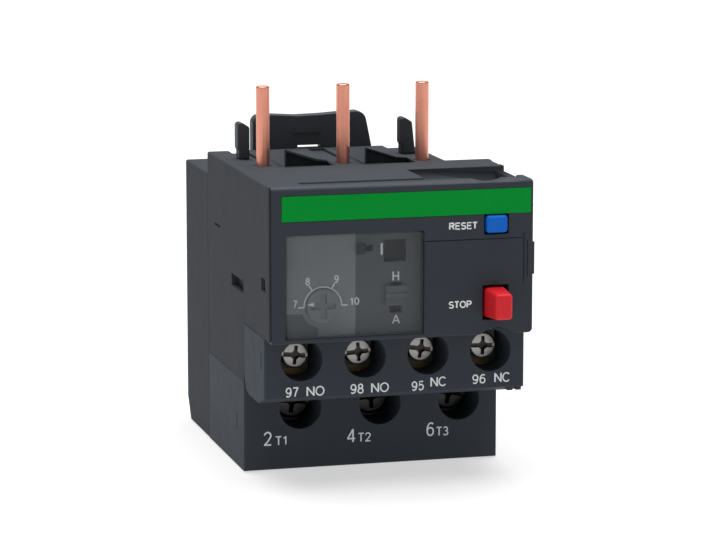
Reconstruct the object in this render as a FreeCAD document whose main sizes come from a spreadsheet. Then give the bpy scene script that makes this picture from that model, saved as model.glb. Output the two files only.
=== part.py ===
import FreeCAD, Part
import Sketcher
import os
import re

# Thermal overload relay for a motor circuit, as a parametric document.
# Millimetres, +Z up. The front faces -Y and the three line pins point up.
# In the formulas below y = 0 is the front face of the cover; every finished piece is then moved
# so that the origin lies at the bottom centre of the whole relay.

SIZES = {
    # case
    "case_width": 45.0,
    "case_depth": 65.0,
    "power_height": 15.6,
    "aux_height": 10.2,
    "cover_height": 25.7,
    "rear_drop": 3.8,
    "corner_drop": 6.5,
    "corner_width": 7.8,
    "body_back": 46.5,
    "base_face": 18.8,
    "wall": 2.0,
    "floor_wall": 1.5,
    "edge_round": 0.4,
    "over": 1.0,
    "lap": 0.2,
    "snug": 0.05,
    "slot_gap": 0.2,
    "sheet_gap": 0.1,
    "rear_cut_depth": 2.8,
    "rear_cut_height": 4.4,
    "corner_y": 24.7,
    "phase_wall": 1.2,
    # front cover
    "cover_depth": 4.4,
    "front_wall": 3.0,
    "cover_side_round": 0.8,
    "cover_top_round": 1.0,
    "cover_skirt": 0.4,
    "cover_lap": 0.25,
    "skirt_gap": 0.1,
    "recess_setback": 2.7,
    "recess_width": 23.65,
    "recess_drop": 8.1,
    "lip_width": 0.4,
    "lip_setback": 0.4,
    "recess_depth": 2.6,
    "bottom_rail": 0.3,
    "scoop_width": 5.2,
    "scoop_setback": 7.3,
    "scoop_depth": 0.5,
    "groove_width": 0.2,
    "groove_depth": 0.2,
    "panel_gap": 0.15,
    "panel_setback": 1.35,
    "panel_drop": 9.8,
    "panel_groove_rise": 8.2,
    "panel_groove_over": 0.7,
    "cover_hollow_setback": 1.5,
    "arch_gap": 1.0,
    "latch_proud": 0.5,
    "latch_reach": 6.0,
    "latch_rise": 9.5,
    "latch_height": 5.5,
    "latch_width": 0.7,
    # pocket in the deck
    "pocket_front": 2.5,
    "pocket_back": 15.5,
    "pocket_depth": 3.0,
    "pocket_setback": 1.5,
    "pocket_width": 15.8,
    "pocket_wall_drop": 0.9,
    "deck_groove_setback": 6.0,
    "deck_groove_width": 0.5,
    "deck_groove_front": 1.8,
    "deck_groove_depth": 0.4,
    # auxiliary terminals
    "aux_face": 3.7,
    "aux_slope": 4.7,
    "aux_round": 4.0,
    "aux_middle_x": 0.2,
    "aux_margin": 1.4,
    "aux_screw_drop": 3.8,
    "aux_overhang": 1.5,
    "aux_hole_r": 3.55,
    "aux_hole_depth": 5.8,
    "aux_chamber_half": 3.3,
    "aux_chamber_back": 17.0,
    "rib_width": 1.0,
    "rib_setback": 0.3,
    "rib_space": 0.5,
    "rib_start": 0.5,
    "rib_run": 2.0,
    "rib_drop": 0.8,
    # power terminals
    "power_shift": 4.55,
    "power_screw_drop": 5.0,
    "power_roof": 1.7,
    "power_hole_r": 3.65,
    "power_hole_depth": 7.7,
    "power_chamber_half": 4.6,
    "power_chamber_back": 36.4,
    "power_hollow_y": 39.0,
    # line pins
    "pin_x_middle": -3.05,
    "pole_margin": 2.7,
    "pin_length": 13.6,
    "pin_y": 26.5,
    "pin_r": 1.15,
    "pin_shoulder_r": 1.4,
    "pin_tip_cut": 0.15,
    "shoulder_drop": 0.15,
    "pin_tab_half": 0.8,
    "fit_gap": 0.05,
    "trough_width": 3.0,
    "trough_start": 33.5,
    "trough_depth": 0.5,
    "wedge_height": 3.0,
    "wedge_length": 9.1,
    "wedge_knee": 5.7,
    "wedge_knee_height": 1.15,
    "wedge_heel": 7.4,
    "wedge_heel_height": 1.05,
    "wedge_foot": 0.5,
    "wedge_rim": 0.35,
    "wedge_rim_end": 0.8,
    "wedge_pocket": 1.5,
    "wedge_y": 23.6,
    "wedge_run": 21.0,
    "wedge_offset": 3.05,
    # hooks
    "plate_y": 46.9,
    "plate_thickness": 2.5,
    "plate_setback": 8.35,
    "plate_width": 22.1,
    "plate_rise": 6.4,
    "plate_dip": 0.6,
    "plate_slant_low": 0.3,
    "plate_slant": 1.6,
    "plate_right_dip": 12.5,
    "plate_middle_dip": 8.0,
    "plate_left_dip": 3.5,
    "plate_left_drop": 0.3,
    "latch_rib_left": 7.2,
    "latch_rib_right": 12.4,
    "latch_rib_proud": 0.15,
    "latch_rib_drop": 2.7,
    "latch_rib_height": 1.0,
    "latch_window_left": 8.2,
    "latch_window_drop": 0.1,
    "latch_window_rise": 0.45,
    "hook_y": 34.4,
    "hook_depth": 2.6,
    "hook_height": 6.4,
    "hook_setback": 3.0,
    "hook_pitch": 29.2,
    "hook_width": 1.9,
    "hook_flare": 0.6,
    "barb_out": 0.25,
    "barb_height": 1.6,
    "barb_slope": 0.3,
    "hook_top_drop": 0.8,
    "hook_top_round": 0.6,
    "latch_left_round": 1.5,
    "latch_right_round": 2.0,
    # small side marks
    "side_cut": 1.2,
    "rear_slot_y": 18.9,
    "rear_slot_length": 8.9,
    "front_slot_y": 2.0,
    "front_slot_length": 3.8,
    "slot_rise": 5.0,
    "front_slot_rise": 7.9,
    "slot_height": 2.1,
    "mark_y": 36.8,
    "mark_length": 4.1,
    "mark_rise": 13.55,
    "mark_height": 0.4,
    "mark_depth": 0.3,
    "notch_setback": 2.2,
    "notch_rise": 4.8,
    "notch_height": 2.7,
    "base_notch_setback": 5.3,
    "base_notch_low": 6.3,
    # label, setting plate and flap
    "label_depth": 0.2,
    "label_setback": 2.1,
    "label_margin": 0.25,
    "label_drop": 1.5,
    "label_width": 4.3,
    "plate_sheet": 0.4,
    "flap_thickness": 1.0,
    "flap_gap": 0.25,
    "flap_pin_r": 0.35,
    "flap_pin_reach": 0.35,
    "grip_width": 1.1,
    "grip_proud": 0.25,
    # dial
    "dial_r": 2.9,
    "dial_inset": 6.9,
    "dial_rise": 5.4,
    "dial_head": 0.5,
    "dial_shaft_r": 1.5,
    "dial_slot_length": 4.1,
    "dial_slot_width": 0.9,
    "dial_slot_depth": 0.35,
    "cam_r": 3.0,
    "cam_offset": 0.8,
    "cam_width": 2.4,
    # test slider, trip flag and mode selector
    "test_width": 1.3,
    "test_inset": 13.3,
    "test_drop": 2.9,
    "test_height": 1.7,
    "test_travel": 1.0,
    "test_slot_half": 0.45,
    "test_slot_over": 1.2,
    "test_slot_rise": 0.5,
    "test_neck_half": 0.3,
    "test_flange_left": 1.2,
    "test_flange_right": 1.0,
    "test_flange_low": 1.0,
    "test_flange_high": 1.5,
    "flag_plate_length": 6.0,
    "flag_inset": 17.3,
    "flag_width": 3.8,
    "flag_drop": 1.6,
    "flag_height": 3.7,
    "flag_lap": 1.7,
    "flag_rim": 0.7,
    "flag_plate_thick": 0.8,
    "selector_width": 3.9,
    "selector_inset": 19.35,
    "selector_rise": 5.0,
    "selector_height": 3.3,
    "selector_travel": 1.1,
    "selector_slot_width": 2.1,
    "selector_slot_rise": 0.6,
    "selector_ridge_inset": 1.2,
    "selector_step": 0.3,
    "selector_rim": 0.4,
    "knob_front": 1.3,
    "flange_gap": 0.3,
    "flange_thick": 0.8,
    # push buttons
    "reset_width": 3.8,
    "reset_setback": 6.2,
    "reset_drop": 7.45,
    "reset_height": 3.0,
    "reset_proud": 0.6,
    "stop_width": 4.0,
    "stop_setback": 6.3,
    "stop_rise": 5.05,
    "stop_height": 5.4,
    "stop_proud": 5.0,
    "stop_draft": 0.55,
    "button_gap": 0.22,
    "button_round": 0.6,
    "reset_inset": 0.05,
    "button_retain": 0.5,
    "button_flange_y": 3.25,
    "stem_width": 2.0,
    "reset_stem_end": 12.0,
    "stop_stem_end": 9.0,
    "spring_wire": 0.35,
    "coil_gap": 0.02,
    "spring_r": 1.75,
    "trip_spring_r": 1.1,
    # mechanism
    "frame_y": 8.2,
    "frame_thick": 1.2,
    "frame_drop": 0.3,
    "strip_thick": 0.8,
    "strip_foot": 3.6,
    "busbar_rise": 5.4,
    "winding_gap": 1.0,
    "winding_clear": 5.2,
    "strip_reach": 0.5,
    "pin_tab_height": 1.4,
    "strip_y": 28.6,
    "strip_width": 5.0,
    "tip_width": 2.6,
    "tip_length": 3.4,
    "winding_half": 1.75,
    "winding_over": 0.8,
    "sleeve_half": 1.0,
    "sleeve_inset": 0.3,
    "strip_gap": 0.1,
    "turn_share": 0.7,
    "top_turn_height": 0.5,
    "turn_count": 9.0,
    "bar_thick": 1.2,
    "bar_clear": 1.2,
    "bar_end_gap": 0.5,
    "bar_travel": 1.5,
    "finger_y": 25.5,
    "finger_width": 1.5,
    "slip": 0.3,
    "lever_y": 20.0,
    "hub_r": 2.0,
    "lever_setback": 6.0,
    "lever_drop": 3.6,
    "finger_gap": 0.4,
    "pivot_r": 0.8,
    "arm_height": 1.6,
    "arm_reach": 8.0,
    "peg_r": 0.8,
    "fork_wall": 1.5,
    "web_gap": 0.5,
    "web_thick": 1.6,
    "comp_length": 7.5,
    "comp_height": 2.4,
    "carrier_y": 12.0,
    "carrier_width": 2.5,
    "carrier_height": 3.0,
    "arm_clear": 1.0,
    "lead_clear": 0.5,
    "peg_clear": 0.4,
    "carrier_clear": 2.0,
    "blade_thick": 0.6,
    "blade_drop": 3.5,
    "blade_over": 1.6,
    # contact leads and screws
    "lead_y": 11.9,
    "lead_thick": 0.8,
    "lead_half": 1.5,
    "lead_eye_half": 2.8,
    "lead_eye_drop": 0.3,
    "lead_rise": 3.4,
    "closing_gap": 2.3,
    "aux_head_r": 2.3,
    "aux_head_height": 1.8,
    "aux_head_y": 8.2,
    "aux_shank_r": 1.5,
    "aux_shank_length": 5.5,
    "aux_washer_half": 2.6,
    "aux_washer_thick": 0.8,
    "power_head_r": 3.2,
    "power_head_height": 2.4,
    "power_head_y": 25.0,
    "power_shank_r": 2.0,
    "power_shank_length": 8.4,
    "power_washer_half": 4.0,
    "power_washer_low": 7.2,
    "power_washer_thick": 1.2,
    "busbar_y": 33.6,
    "busbar_thick": 1.2,
    "busbar_low": 6.0,
    "busbar_half": 3.6,
    "busbar_leg_half": 2.5,
    "busbar_shoulder": 1.0,
    "busbar_plate_gap": 0.5,
    "drive_width": 0.7,
    "drive_reach": 0.6,
    "drive_depth": 0.8,
}

# Heights stack up from the foot: power terminals, auxiliary terminals, front cover.
# Sideways, what stands near an edge is measured from that edge.
DERIVED = {
    "left_edge": "-case_width / 2",
    "right_edge": "case_width / 2",
    "body_floor": "power_height",
    "cover_bottom": "power_height + aux_height",
    "deck_height": "cover_bottom + cover_height",
    "rear_height": "deck_height - rear_drop",
    "corner_height": "deck_height - corner_drop",
    "corner_x": "right_edge - corner_width",
    "recess_left": "left_edge + recess_setback",
    "recess_right": "recess_left + recess_width",
    "recess_top": "deck_height - recess_drop",
    "panel_left": "recess_right + panel_gap",
    "panel_right": "right_edge - panel_setback",
    "panel_top": "deck_height - panel_drop",
    "panel_groove_end": "cover_bottom + panel_groove_rise",
    "latch_low": "cover_bottom + latch_rise",
    "latch_high": "latch_low + latch_height",
    "scoop_x": "right_edge - scoop_setback",
    "pocket_right": "right_edge - pocket_setback",
    "pocket_left": "pocket_right - pocket_width",
    "label_left": "left_edge + label_setback",
    "label_right": "right_edge - label_margin",
    "label_high": "deck_height - label_drop",
    "label_low": "label_high - label_width",
    "aux_front_low": "power_height",
    "aux_bottom": "power_height - aux_overhang",
    "aux_screw_z": "cover_bottom - aux_screw_drop",
    "aux_pitch": "(case_width - aux_margin) / 4",
    "power_screw_z": "power_height - power_screw_drop",
    "power_chamber_top": "power_height - power_roof",
    "pole_pitch": "(case_width - pole_margin) / 3",
    "pin_top": "deck_height + pin_length",
    "pin_low": "winding_top - pin_tab_height",
    "plate_left": "left_edge + plate_setback",
    "plate_right_low": "plate_left + plate_width",
    "plate_top": "deck_height + plate_rise",
    "left_hook_x": "left_edge + hook_setback",
    "right_hook_x": "left_hook_x + hook_pitch",
    "dial_x": "recess_left + dial_inset",
    "dial_z": "cover_bottom + dial_rise",
    "test_x": "recess_left + test_inset",
    "test_z": "recess_top - test_drop",
    "flag_left": "recess_left + flag_inset",
    "flag_right": "flag_left + flag_width",
    "flag_high": "recess_top - flag_drop",
    "flag_low": "flag_high - flag_height",
    "selector_x": "recess_left + selector_inset",
    "selector_low": "cover_bottom + selector_rise",
    "reset_x": "right_edge - reset_setback",
    "reset_z": "deck_height - reset_drop",
    "stop_x": "right_edge - stop_setback",
    "stop_z": "cover_bottom + stop_rise",
    "frame_top": "deck_height - pocket_depth - wall - frame_drop",
    "busbar_plate_top": "power_chamber_top - busbar_plate_gap",
    "busbar_top": "body_floor + busbar_rise",
    "strip_low": "busbar_top - strip_foot",
    "strip_top": "bar_low + bar_thick + strip_reach",
    "winding_low": "busbar_top + winding_gap",
    "winding_top": "bar_low - winding_clear",
    "bar_low": "corner_height - wall - bar_clear - bar_thick",
    "bar_left": "left_edge + wall + bar_end_gap",
    "bar_right": "lever_x - strip_thick / 2 - finger_gap",
    "lever_x": "right_edge - lever_setback",
    "lever_low": "bar_low - lever_drop",
    "carrier_low": "lever_low - arm_clear - carrier_height",
    "carrier_half": "right_edge - wall - carrier_clear",
    "peg_low": "carrier_low + peg_clear",
    "lead_low": "aux_bottom + lead_rise",
    "lead_top": "carrier_low - lead_clear",
}

POLES = range(3)
AUX = range(4)

doc = FreeCAD.newDocument("overload_relay")
sheet = doc.addObject("Spreadsheet::Sheet", "dims")
for row, (alias, value) in enumerate(SIZES.items(), start=1):
    sheet.set(f"A{row}", alias)
    sheet.set(f"B{row}", str(value))
    sheet.setAlias(f"B{row}", alias)
doc.recompute()

nodes = {}

# Formulas that several pieces share
INNER = "(right_edge - wall)"
COVER_LEFT = "(left_edge + lip_width)"
COVER_RIGHT = "(right_edge + cover_lap)"
FLAP_AXIS_X = "(recess_left + flap_gap + flap_thickness / 2)"
FLANGE_Y = "(cover_depth + flange_gap)"
FRAME_BACK = "(frame_y + frame_thick)"
BAR_TOP = "(bar_low + bar_thick)"
BODY_INSIDE = "(cover_bottom + floor_wall)"
SCOOP_R = "((scoop_width ^ 2 / 4 + scoop_depth ^ 2) / (2 * scoop_depth))"
PLATE_FRONT = "(recess_depth - plate_sheet)"
KNOB_BACK = "(recess_depth - plate_sheet - sheet_gap)"
SELECTOR_SLOT_X = ("selector_x - selector_slot_width / 2", "selector_x + selector_slot_width / 2")
SELECTOR_SLOT_Z = ("selector_low - selector_travel - slot_gap",
                   "selector_low + selector_height + selector_slot_rise")
TEST_SLOT_X = ("test_x - test_slot_half", "test_x + test_travel + test_slot_over")
TEST_SLOT_Z = ("test_z - test_slot_rise", "test_z + test_slot_rise")


def link(formula):
    """Turns the names of sizes in a formula into references to the sheet."""
    def swap(match):
        word = match.group(0)
        if word in DERIVED:
            return f"({link(DERIVED[word])})"
        return f"dims.{word}" if word in SIZES else word
    return re.sub(r"[a-z][a-z0-9_]*", swap, str(formula))


def pin_x(pole):
    return f"(pin_x_middle + {pole - 1} * pole_pitch)"


def power_x(pole):
    return f"({pin_x(pole)} + power_shift)"


def aux_x(place):
    return f"(aux_middle_x + {place - 1.5} * aux_pitch)"


# Tools for shapes

def block(name, x, y, z):
    """A rectangular block between a low and a high formula along each axis."""
    box = doc.addObject("Part::Box", name)
    for size, axis, (low, high) in (("Length", "x", x), ("Width", "y", y), ("Height", "z", z)):
        box.setExpression(size, link(f"({high}) - ({low})"))
        box.setExpression(f"Placement.Base.{axis}", link(low))
    return box


TURNS = {
    "x": FreeCAD.Rotation(FreeCAD.Vector(0, 1, 0), 90),
    "y": FreeCAD.Rotation(FreeCAD.Vector(1, 0, 0), -90),
    "z": FreeCAD.Rotation(),
}


def rod(name, axis, centre, low, high, radius):
    """A round rod along an axis; centre holds the formulas of the other two axes in order."""
    cylinder = doc.addObject("Part::Cylinder", name)
    cylinder.Placement = FreeCAD.Placement(FreeCAD.Vector(), TURNS[axis])
    cylinder.setExpression("Radius", link(radius))
    cylinder.setExpression("Height", link(f"({high}) - ({low})"))
    places = dict(zip([a for a in "xyz" if a != axis], centre))
    places[axis] = low
    for a in "xyz":
        cylinder.setExpression(f"Placement.Base.{a}", link(places[a]))
    return cylinder


def join(name, pieces):
    fused = doc.addObject("Part::MultiFuse", name)
    fused.Shapes = pieces
    fused.Refine = True
    return fused


def cut(name, base, tools):
    """The base without the tools."""
    tool = tools[0] if len(tools) == 1 else join(f"{name}_tools", tools)
    result = doc.addObject("Part::Cut", name)
    result.Base = base
    result.Tool = tool
    result.Refine = True
    return result


def group(name, pieces):
    """Separate solids that share one node."""
    together = doc.addObject("Part::Compound", name)
    together.Links = pieces
    return together


def sketch_on(body, role, name, outline):
    """A closed outline of straight lines on an origin plane; every corner is bound to formulas."""
    sketch = body.newObject("Sketcher::SketchObject", name)
    plane = [p for p in body.Origin.OriginFeatures if p.Role == role][0]
    sketch.AttachmentSupport = [(plane, "")]
    sketch.MapMode = "FlatFace"
    corners = [FreeCAD.Vector(evaluate(u), evaluate(v), 0) for u, v in outline]
    count = len(corners)
    for i, corner in enumerate(corners):
        sketch.addGeometry(Part.LineSegment(corner, corners[(i + 1) % count]), False)
    for i in range(count):
        sketch.addConstraint(Sketcher.Constraint("Coincident", i, 2, (i + 1) % count, 1))
    for i, (u, v) in enumerate(outline):
        across = sketch.addConstraint(Sketcher.Constraint("DistanceX", -1, 1, i, 1, corners[i].x))
        along = sketch.addConstraint(Sketcher.Constraint("DistanceY", -1, 1, i, 1, corners[i].y))
        sketch.setExpression(f"Constraints[{across}]", link(u))
        sketch.setExpression(f"Constraints[{along}]", link(v))
    return sketch


def evaluate(formula):
    """The present value of a formula, for the first drawing of a sketch."""
    return float(doc.getObject("dims").evalExpression(link(formula)))


def pad(name, role, outline, length, offset="0"):
    """A body whose outline is padded evenly to both sides, or along +Y or +Z from an offset."""
    body = doc.addObject("PartDesign::Body", name)
    sketch = sketch_on(body, role, f"{name}_outline", outline)
    feature = body.newObject("PartDesign::Pad", f"{name}_pad")
    feature.Profile = sketch
    feature.setExpression("Length", link(length))
    if role == "YZ_Plane":
        feature.Midplane = True
    elif role == "XZ_Plane":
        feature.Reversed = True
        sketch.setExpression("AttachmentOffset.Base.z", link(f"-({offset})"))
    else:
        sketch.setExpression("AttachmentOffset.Base.z", link(offset))
    doc.recompute()
    return body


def pocket(body, outline, length):
    """Cuts an outline on the side plane out of a body, evenly to both sides."""
    before = body.Shape.Volume
    sketch = sketch_on(body, "YZ_Plane", f"{body.Name}_inside", outline)
    feature = body.newObject("PartDesign::Pocket", f"{body.Name}_hollow")
    feature.Profile = sketch
    feature.Midplane = True
    feature.setExpression("Length", link(length))
    doc.recompute()
    if body.Shape.Volume >= before:
        raise RuntimeError(f"{body.Name}: the pocket cut nothing")


def round_edges(body, test, radius, name):
    """Rounds the edges of a body whose middle point passes a test."""
    tip = body.Tip
    names = []
    for number, edge in enumerate(tip.Shape.Edges, start=1):
        middle = edge.CenterOfMass
        spread = edge.BoundBox
        if test(middle, spread):
            names.append(f"Edge{number}")
    if not names:
        raise RuntimeError(f"{name}: no edge to round")
    feature = body.newObject("PartDesign::Fillet", name)
    feature.Base = (tip, names)
    feature.setExpression("Radius", link(radius))
    doc.recompute()


def runs_along(spread, axis):
    lengths = {"x": spread.XLength, "y": spread.YLength, "z": spread.ZLength}
    return all(lengths[a] < 0.01 for a in "xyz" if a != axis)


def close(a, formula):
    return abs(a - evaluate(formula)) < 0.01


def keep(node, piece):
    """Names a finished piece and moves it so that the origin is at the relay's bottom centre."""
    piece.Label = node
    piece.setExpression("Placement.Base.x", link("-latch_proud / 2"))
    piece.setExpression("Placement.Base.y", link("-(case_depth - stop_proud) / 2"))
    nodes[node] = piece


# Case body: a tube from front to back with the deck on top

def case_body():
    outline = [
        ("cover_depth", "cover_bottom"),
        ("base_face", "cover_bottom"),
        ("base_face", "body_floor"),
        ("body_back", "body_floor"),
        ("body_back", "deck_height"),
        ("cover_depth", "deck_height"),
    ]
    inside = [
        ("cover_depth - over", BODY_INSIDE),
        ("base_face + floor_wall", BODY_INSIDE),
        ("base_face + floor_wall", "body_floor + floor_wall"),
        ("body_back + over", "body_floor + floor_wall"),
        ("body_back + over", "deck_height - wall"),
        ("cover_depth - over", "deck_height - wall"),
    ]
    body = pad("body_shell", "YZ_Plane", outline, "case_width")
    pocket(body, inside, "case_width - 2 * wall")
    round_edges(
        body,
        lambda m, s: runs_along(s, "y") and close(m.z, "deck_height") and close(abs(m.x), "right_edge"),
        "edge_round", "body_side_rounds",
    )
    added = [
        block("body_lip", ("left_edge", COVER_LEFT), ("lip_setback", "cover_depth"),
              ("cover_bottom", "deck_height")),
        block(
            "pocket_floor", ("pocket_left - wall", "right_edge"), ("cover_depth", "pocket_back + wall"),
            ("deck_height - pocket_depth - wall", "deck_height"),
        ),
        block(
            "corner_walls", ("corner_x - wall", "right_edge"), ("corner_y - wall", "body_back"),
            ("corner_height - wall", "deck_height"),
        ),
    ]
    added.append(block(
        "pivot_seat", ("lever_x - hub_r", "lever_x + hub_r"), ("base_face", "lever_y + hub_r"),
        ("body_floor", BODY_INSIDE),
    ))
    for wall in range(2):
        x = f"({pin_x(wall)} + pole_pitch / 2)"
        added.append(block(
            f"phase_wall_{wall}", (f"{x} - phase_wall / 2", f"{x} + phase_wall / 2"),
            ("base_face + wall + over", "body_back"), ("body_floor + floor_wall", "bar_low - slot_gap"),
        ))
        added.append(deck_wedge(wall))
    cuts = [
        block(
            "deck_pocket", ("pocket_left", "pocket_right"), ("cover_depth - over", "pocket_back"),
            ("deck_height - pocket_depth", "deck_height + over"),
        ),
        block(
            "pocket_low_wall", ("pocket_right", "right_edge + over"), ("cover_depth - over", "pocket_back"),
            ("deck_height - pocket_wall_drop", "deck_height + over"),
        ),
        block(
            "deck_corner", ("corner_x", "right_edge + over"), ("corner_y", "body_back + over"),
            ("corner_height", "deck_height + over"),
        ),
        block("latch_notch", ("right_edge - latch_width - snug", "right_edge + over"),
              ("cover_depth - over", "latch_reach + snug"), ("latch_low - snug", "latch_high + snug")),
        block("side_window_rear", ("left_edge - over", "left_edge + side_cut"),
              ("rear_slot_y", "rear_slot_y + rear_slot_length"),
              ("cover_bottom + slot_rise", "cover_bottom + slot_rise + slot_height")),
        block("side_window_front", ("left_edge - over", "left_edge + side_cut"),
              ("front_slot_y", "front_slot_y + front_slot_length"),
              ("cover_bottom + front_slot_rise", "cover_bottom + front_slot_rise + slot_height")),
        block("side_mark", ("left_edge - over", "left_edge + mark_depth"),
              ("mark_y", "mark_y + mark_length"),
              ("cover_bottom + mark_rise", "cover_bottom + mark_rise + mark_height")),
        block("deck_groove", ("left_edge + deck_groove_setback", "pocket_left + over"),
              ("cover_depth - over", "cover_depth + deck_groove_width"),
              ("deck_height - deck_groove_depth", "deck_height + over")),
    ]
    for pole in POLES:
        cuts.append(rod(f"pin_hole_{pole}", "z", (pin_x(pole), "pin_y"), "deck_height - wall - over",
                        "deck_height + over", "pin_shoulder_r + fit_gap"))
        cuts.append(block(
            f"pin_trough_{pole}", (f"{pin_x(pole)} - trough_width / 2",
                                   f"{pin_x(pole)} + trough_width / 2"),
            ("trough_start", "body_back + over"),
            ("deck_height - trough_depth", "deck_height + wedge_height + over"),
        ))
        cuts.append(block(
            f"busbar_slot_{pole}",
            (f"{pin_x(pole)} - busbar_leg_half - slot_gap", f"{pin_x(pole)} + busbar_leg_half + slot_gap"),
            ("busbar_y - sheet_gap", "busbar_y + busbar_thick + sheet_gap"),
            ("body_floor - over", "body_floor + floor_wall + over"),
        ))
    for place in AUX:
        cuts.append(block(
            f"lead_slot_{place}",
            (f"{aux_x(place)} - lead_half - slot_gap", f"{aux_x(place)} + lead_half + slot_gap"),
            ("lead_y - sheet_gap", "lead_y + lead_thick + sheet_gap"),
            ("cover_bottom - over", f"{BODY_INSIDE} + over"),
        ))
    seats = []
    for side in ("left_hook", "right_hook"):
        seats.append(block(
            f"{side}_seat", (f"{side}_x", f"{side}_x + hook_width + hook_flare"),
            ("hook_y", "hook_y + hook_depth"),
            ("deck_height - wall", "deck_height"),
        ))
    hollow = cut("case_body_cut", join("case_body_walls", [body] + added), cuts)
    keep("case_body", join("case_body_piece", [hollow] + seats))


def deck_wedge(wall):
    """A low wedge on the deck: its hollowed front falls to the right, its top runs out at the rear left."""
    left = f"({pin_x(wall)} + wedge_offset)"
    x0, x1 = evaluate(left), evaluate(f"{left} + wedge_length")
    y0, y1 = evaluate("wedge_y"), evaluate("wedge_y + wedge_run")
    top = evaluate("deck_height")
    foot = evaluate("deck_height - wedge_foot")
    ridge = [
        FreeCAD.Vector(x1, y0, top),
        FreeCAD.Vector(evaluate(f"{left} + wedge_heel"), y0, evaluate("deck_height + wedge_heel_height")),
        FreeCAD.Vector(evaluate(f"{left} + wedge_knee"), y0, evaluate("deck_height + wedge_knee_height")),
        FreeCAD.Vector(x0, y0, evaluate("deck_height + wedge_height")),
    ]
    low = [FreeCAD.Vector(x0, y0, foot), FreeCAD.Vector(x1, y0, foot), FreeCAD.Vector(x0, y1, foot)]
    end = FreeCAD.Vector(x0, y1, top)
    outlines = [low[:2] + ridge, low, [low[1], low[2], end, ridge[0]], [low[0], low[2], end, ridge[3]]]
    outlines += [[end, ridge[i], ridge[i + 1]] for i in range(3)]
    faces = [Part.Face(Part.makePolygon(points + points[:1])) for points in outlines]
    wedge = doc.addObject("Part::Feature", f"deck_wedge_solid_{wall}")
    wedge.Shape = Part.makeSolid(Part.makeShell(faces))
    rim, steep = evaluate("wedge_rim"), evaluate("(wedge_height - wedge_knee_height) / wedge_knee")
    front = y0 - evaluate("over")
    inner = [
        FreeCAD.Vector(x0 + rim, front, top),
        FreeCAD.Vector(ridge[1].x + evaluate("wedge_rim_end"), front, top),
        FreeCAD.Vector(ridge[1].x, front, ridge[1].z - rim),
        FreeCAD.Vector(ridge[2].x, front, ridge[2].z - rim),
        FreeCAD.Vector(x0 + rim, front, ridge[3].z - rim - rim * steep),
    ]
    hollow = doc.addObject("Part::Feature", f"deck_wedge_hollow_{wall}")
    hollow.Shape = Part.Face(Part.makePolygon(inner + inner[:1])).extrude(
        FreeCAD.Vector(0, evaluate("over + wedge_pocket"), 0))
    return cut(f"deck_wedge_{wall}", wedge, [hollow])


# Rear base: a shell behind the body, lower than the deck, chamfered at its back foot

def rear_base():
    outline = [
        ("body_back", "0"),
        ("case_depth - rear_cut_depth", "0"),
        ("case_depth", "rear_cut_height"),
        ("case_depth", "rear_height"),
        ("body_back", "rear_height"),
    ]
    inside = [
        ("body_back - over", "wall"),
        ("case_depth - rear_cut_depth - wall", "wall"),
        ("case_depth - wall", "rear_cut_height + wall / 2"),
        ("case_depth - wall", "rear_height - wall"),
        ("body_back - over", "rear_height - wall"),
    ]
    body = pad("rear_shell", "YZ_Plane", outline, "case_width")
    pocket(body, inside, "case_width - 2 * wall")
    round_edges(
        body,
        lambda m, s: (close(m.y, "case_depth") and runs_along(s, "z") and close(abs(m.x), "right_edge"))
        or (close(m.z, "rear_height") and (close(m.y, "case_depth") or runs_along(s, "y")) and m.z > 1
            and (close(abs(m.x), "right_edge") or runs_along(s, "x"))),
        "edge_round", "rear_rounds",
    )
    corner = block(
        "rear_corner_walls", ("corner_x - wall", "right_edge - edge_round"),
        ("body_back", "case_depth - edge_round"),
        ("corner_height - wall", "rear_height - edge_round"),
    )
    gone = block(
        "rear_corner", ("corner_x", "right_edge + over"), ("body_back - over", "case_depth + over"),
        ("corner_height", "rear_height + over"),
    )
    keep("rear_base", cut("rear_base_cut", join("rear_base_walls", [body, corner]), [gone]))


# Power terminal block: three round screw holes at the front, three cable ways from below

def power_block():
    outline = [
        ("base_face", "0"),
        ("body_back", "0"),
        ("body_back", "body_floor"),
        ("base_face", "body_floor"),
    ]
    body = pad("power_shell", "YZ_Plane", outline, "case_width")
    round_edges(
        body,
        lambda m, s: close(m.y, "base_face") and not close(m.z, "body_floor"),
        "edge_round", "power_rounds",
    )
    cuts = [
        block("power_hollow", (f"-{INNER}", INNER), ("power_hollow_y", "body_back + over"),
              ("wall", "body_floor + over")),
        block("power_side_mark", ("left_edge - over", "left_edge + side_cut / 2"),
              ("base_face + base_notch_setback", "base_face + base_notch_setback + mark_height"),
              ("base_notch_low", "base_notch_low + notch_height")),
    ]
    for pole in POLES:
        x = power_x(pole)
        cuts += [
            rod(f"power_hole_{pole}", "y", (x, "power_screw_z"), "base_face - over",
                "base_face + power_hole_depth + lap", "power_hole_r"),
            block(
                f"power_chamber_{pole}", (f"{x} - power_chamber_half", f"{x} + power_chamber_half"),
                ("base_face + power_hole_depth", "power_chamber_back"), ("-over", "power_chamber_top"),
            ),
            block(
                f"leg_way_{pole}", (f"{pin_x(pole)} - busbar_leg_half - slot_gap",
                                    f"{x} + busbar_half + slot_gap"),
                ("busbar_y - sheet_gap", "busbar_y + busbar_thick + sheet_gap"),
                ("busbar_plate_top - busbar_shoulder - slot_gap", "power_chamber_top"),
            ),
            block(
                f"leg_slot_{pole}",
                (f"{pin_x(pole)} - busbar_leg_half - slot_gap",
                 f"{pin_x(pole)} + busbar_leg_half + slot_gap"),
                ("busbar_y - sheet_gap", "busbar_y + busbar_thick + sheet_gap"),
                ("power_chamber_top - over", "body_floor + over"),
            ),
        ]
    keep("power_terminal_block", cut("power_block_cut", body, cuts))


# Auxiliary terminal block: overhangs the power block, four screw holes, cable ways from below

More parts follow.
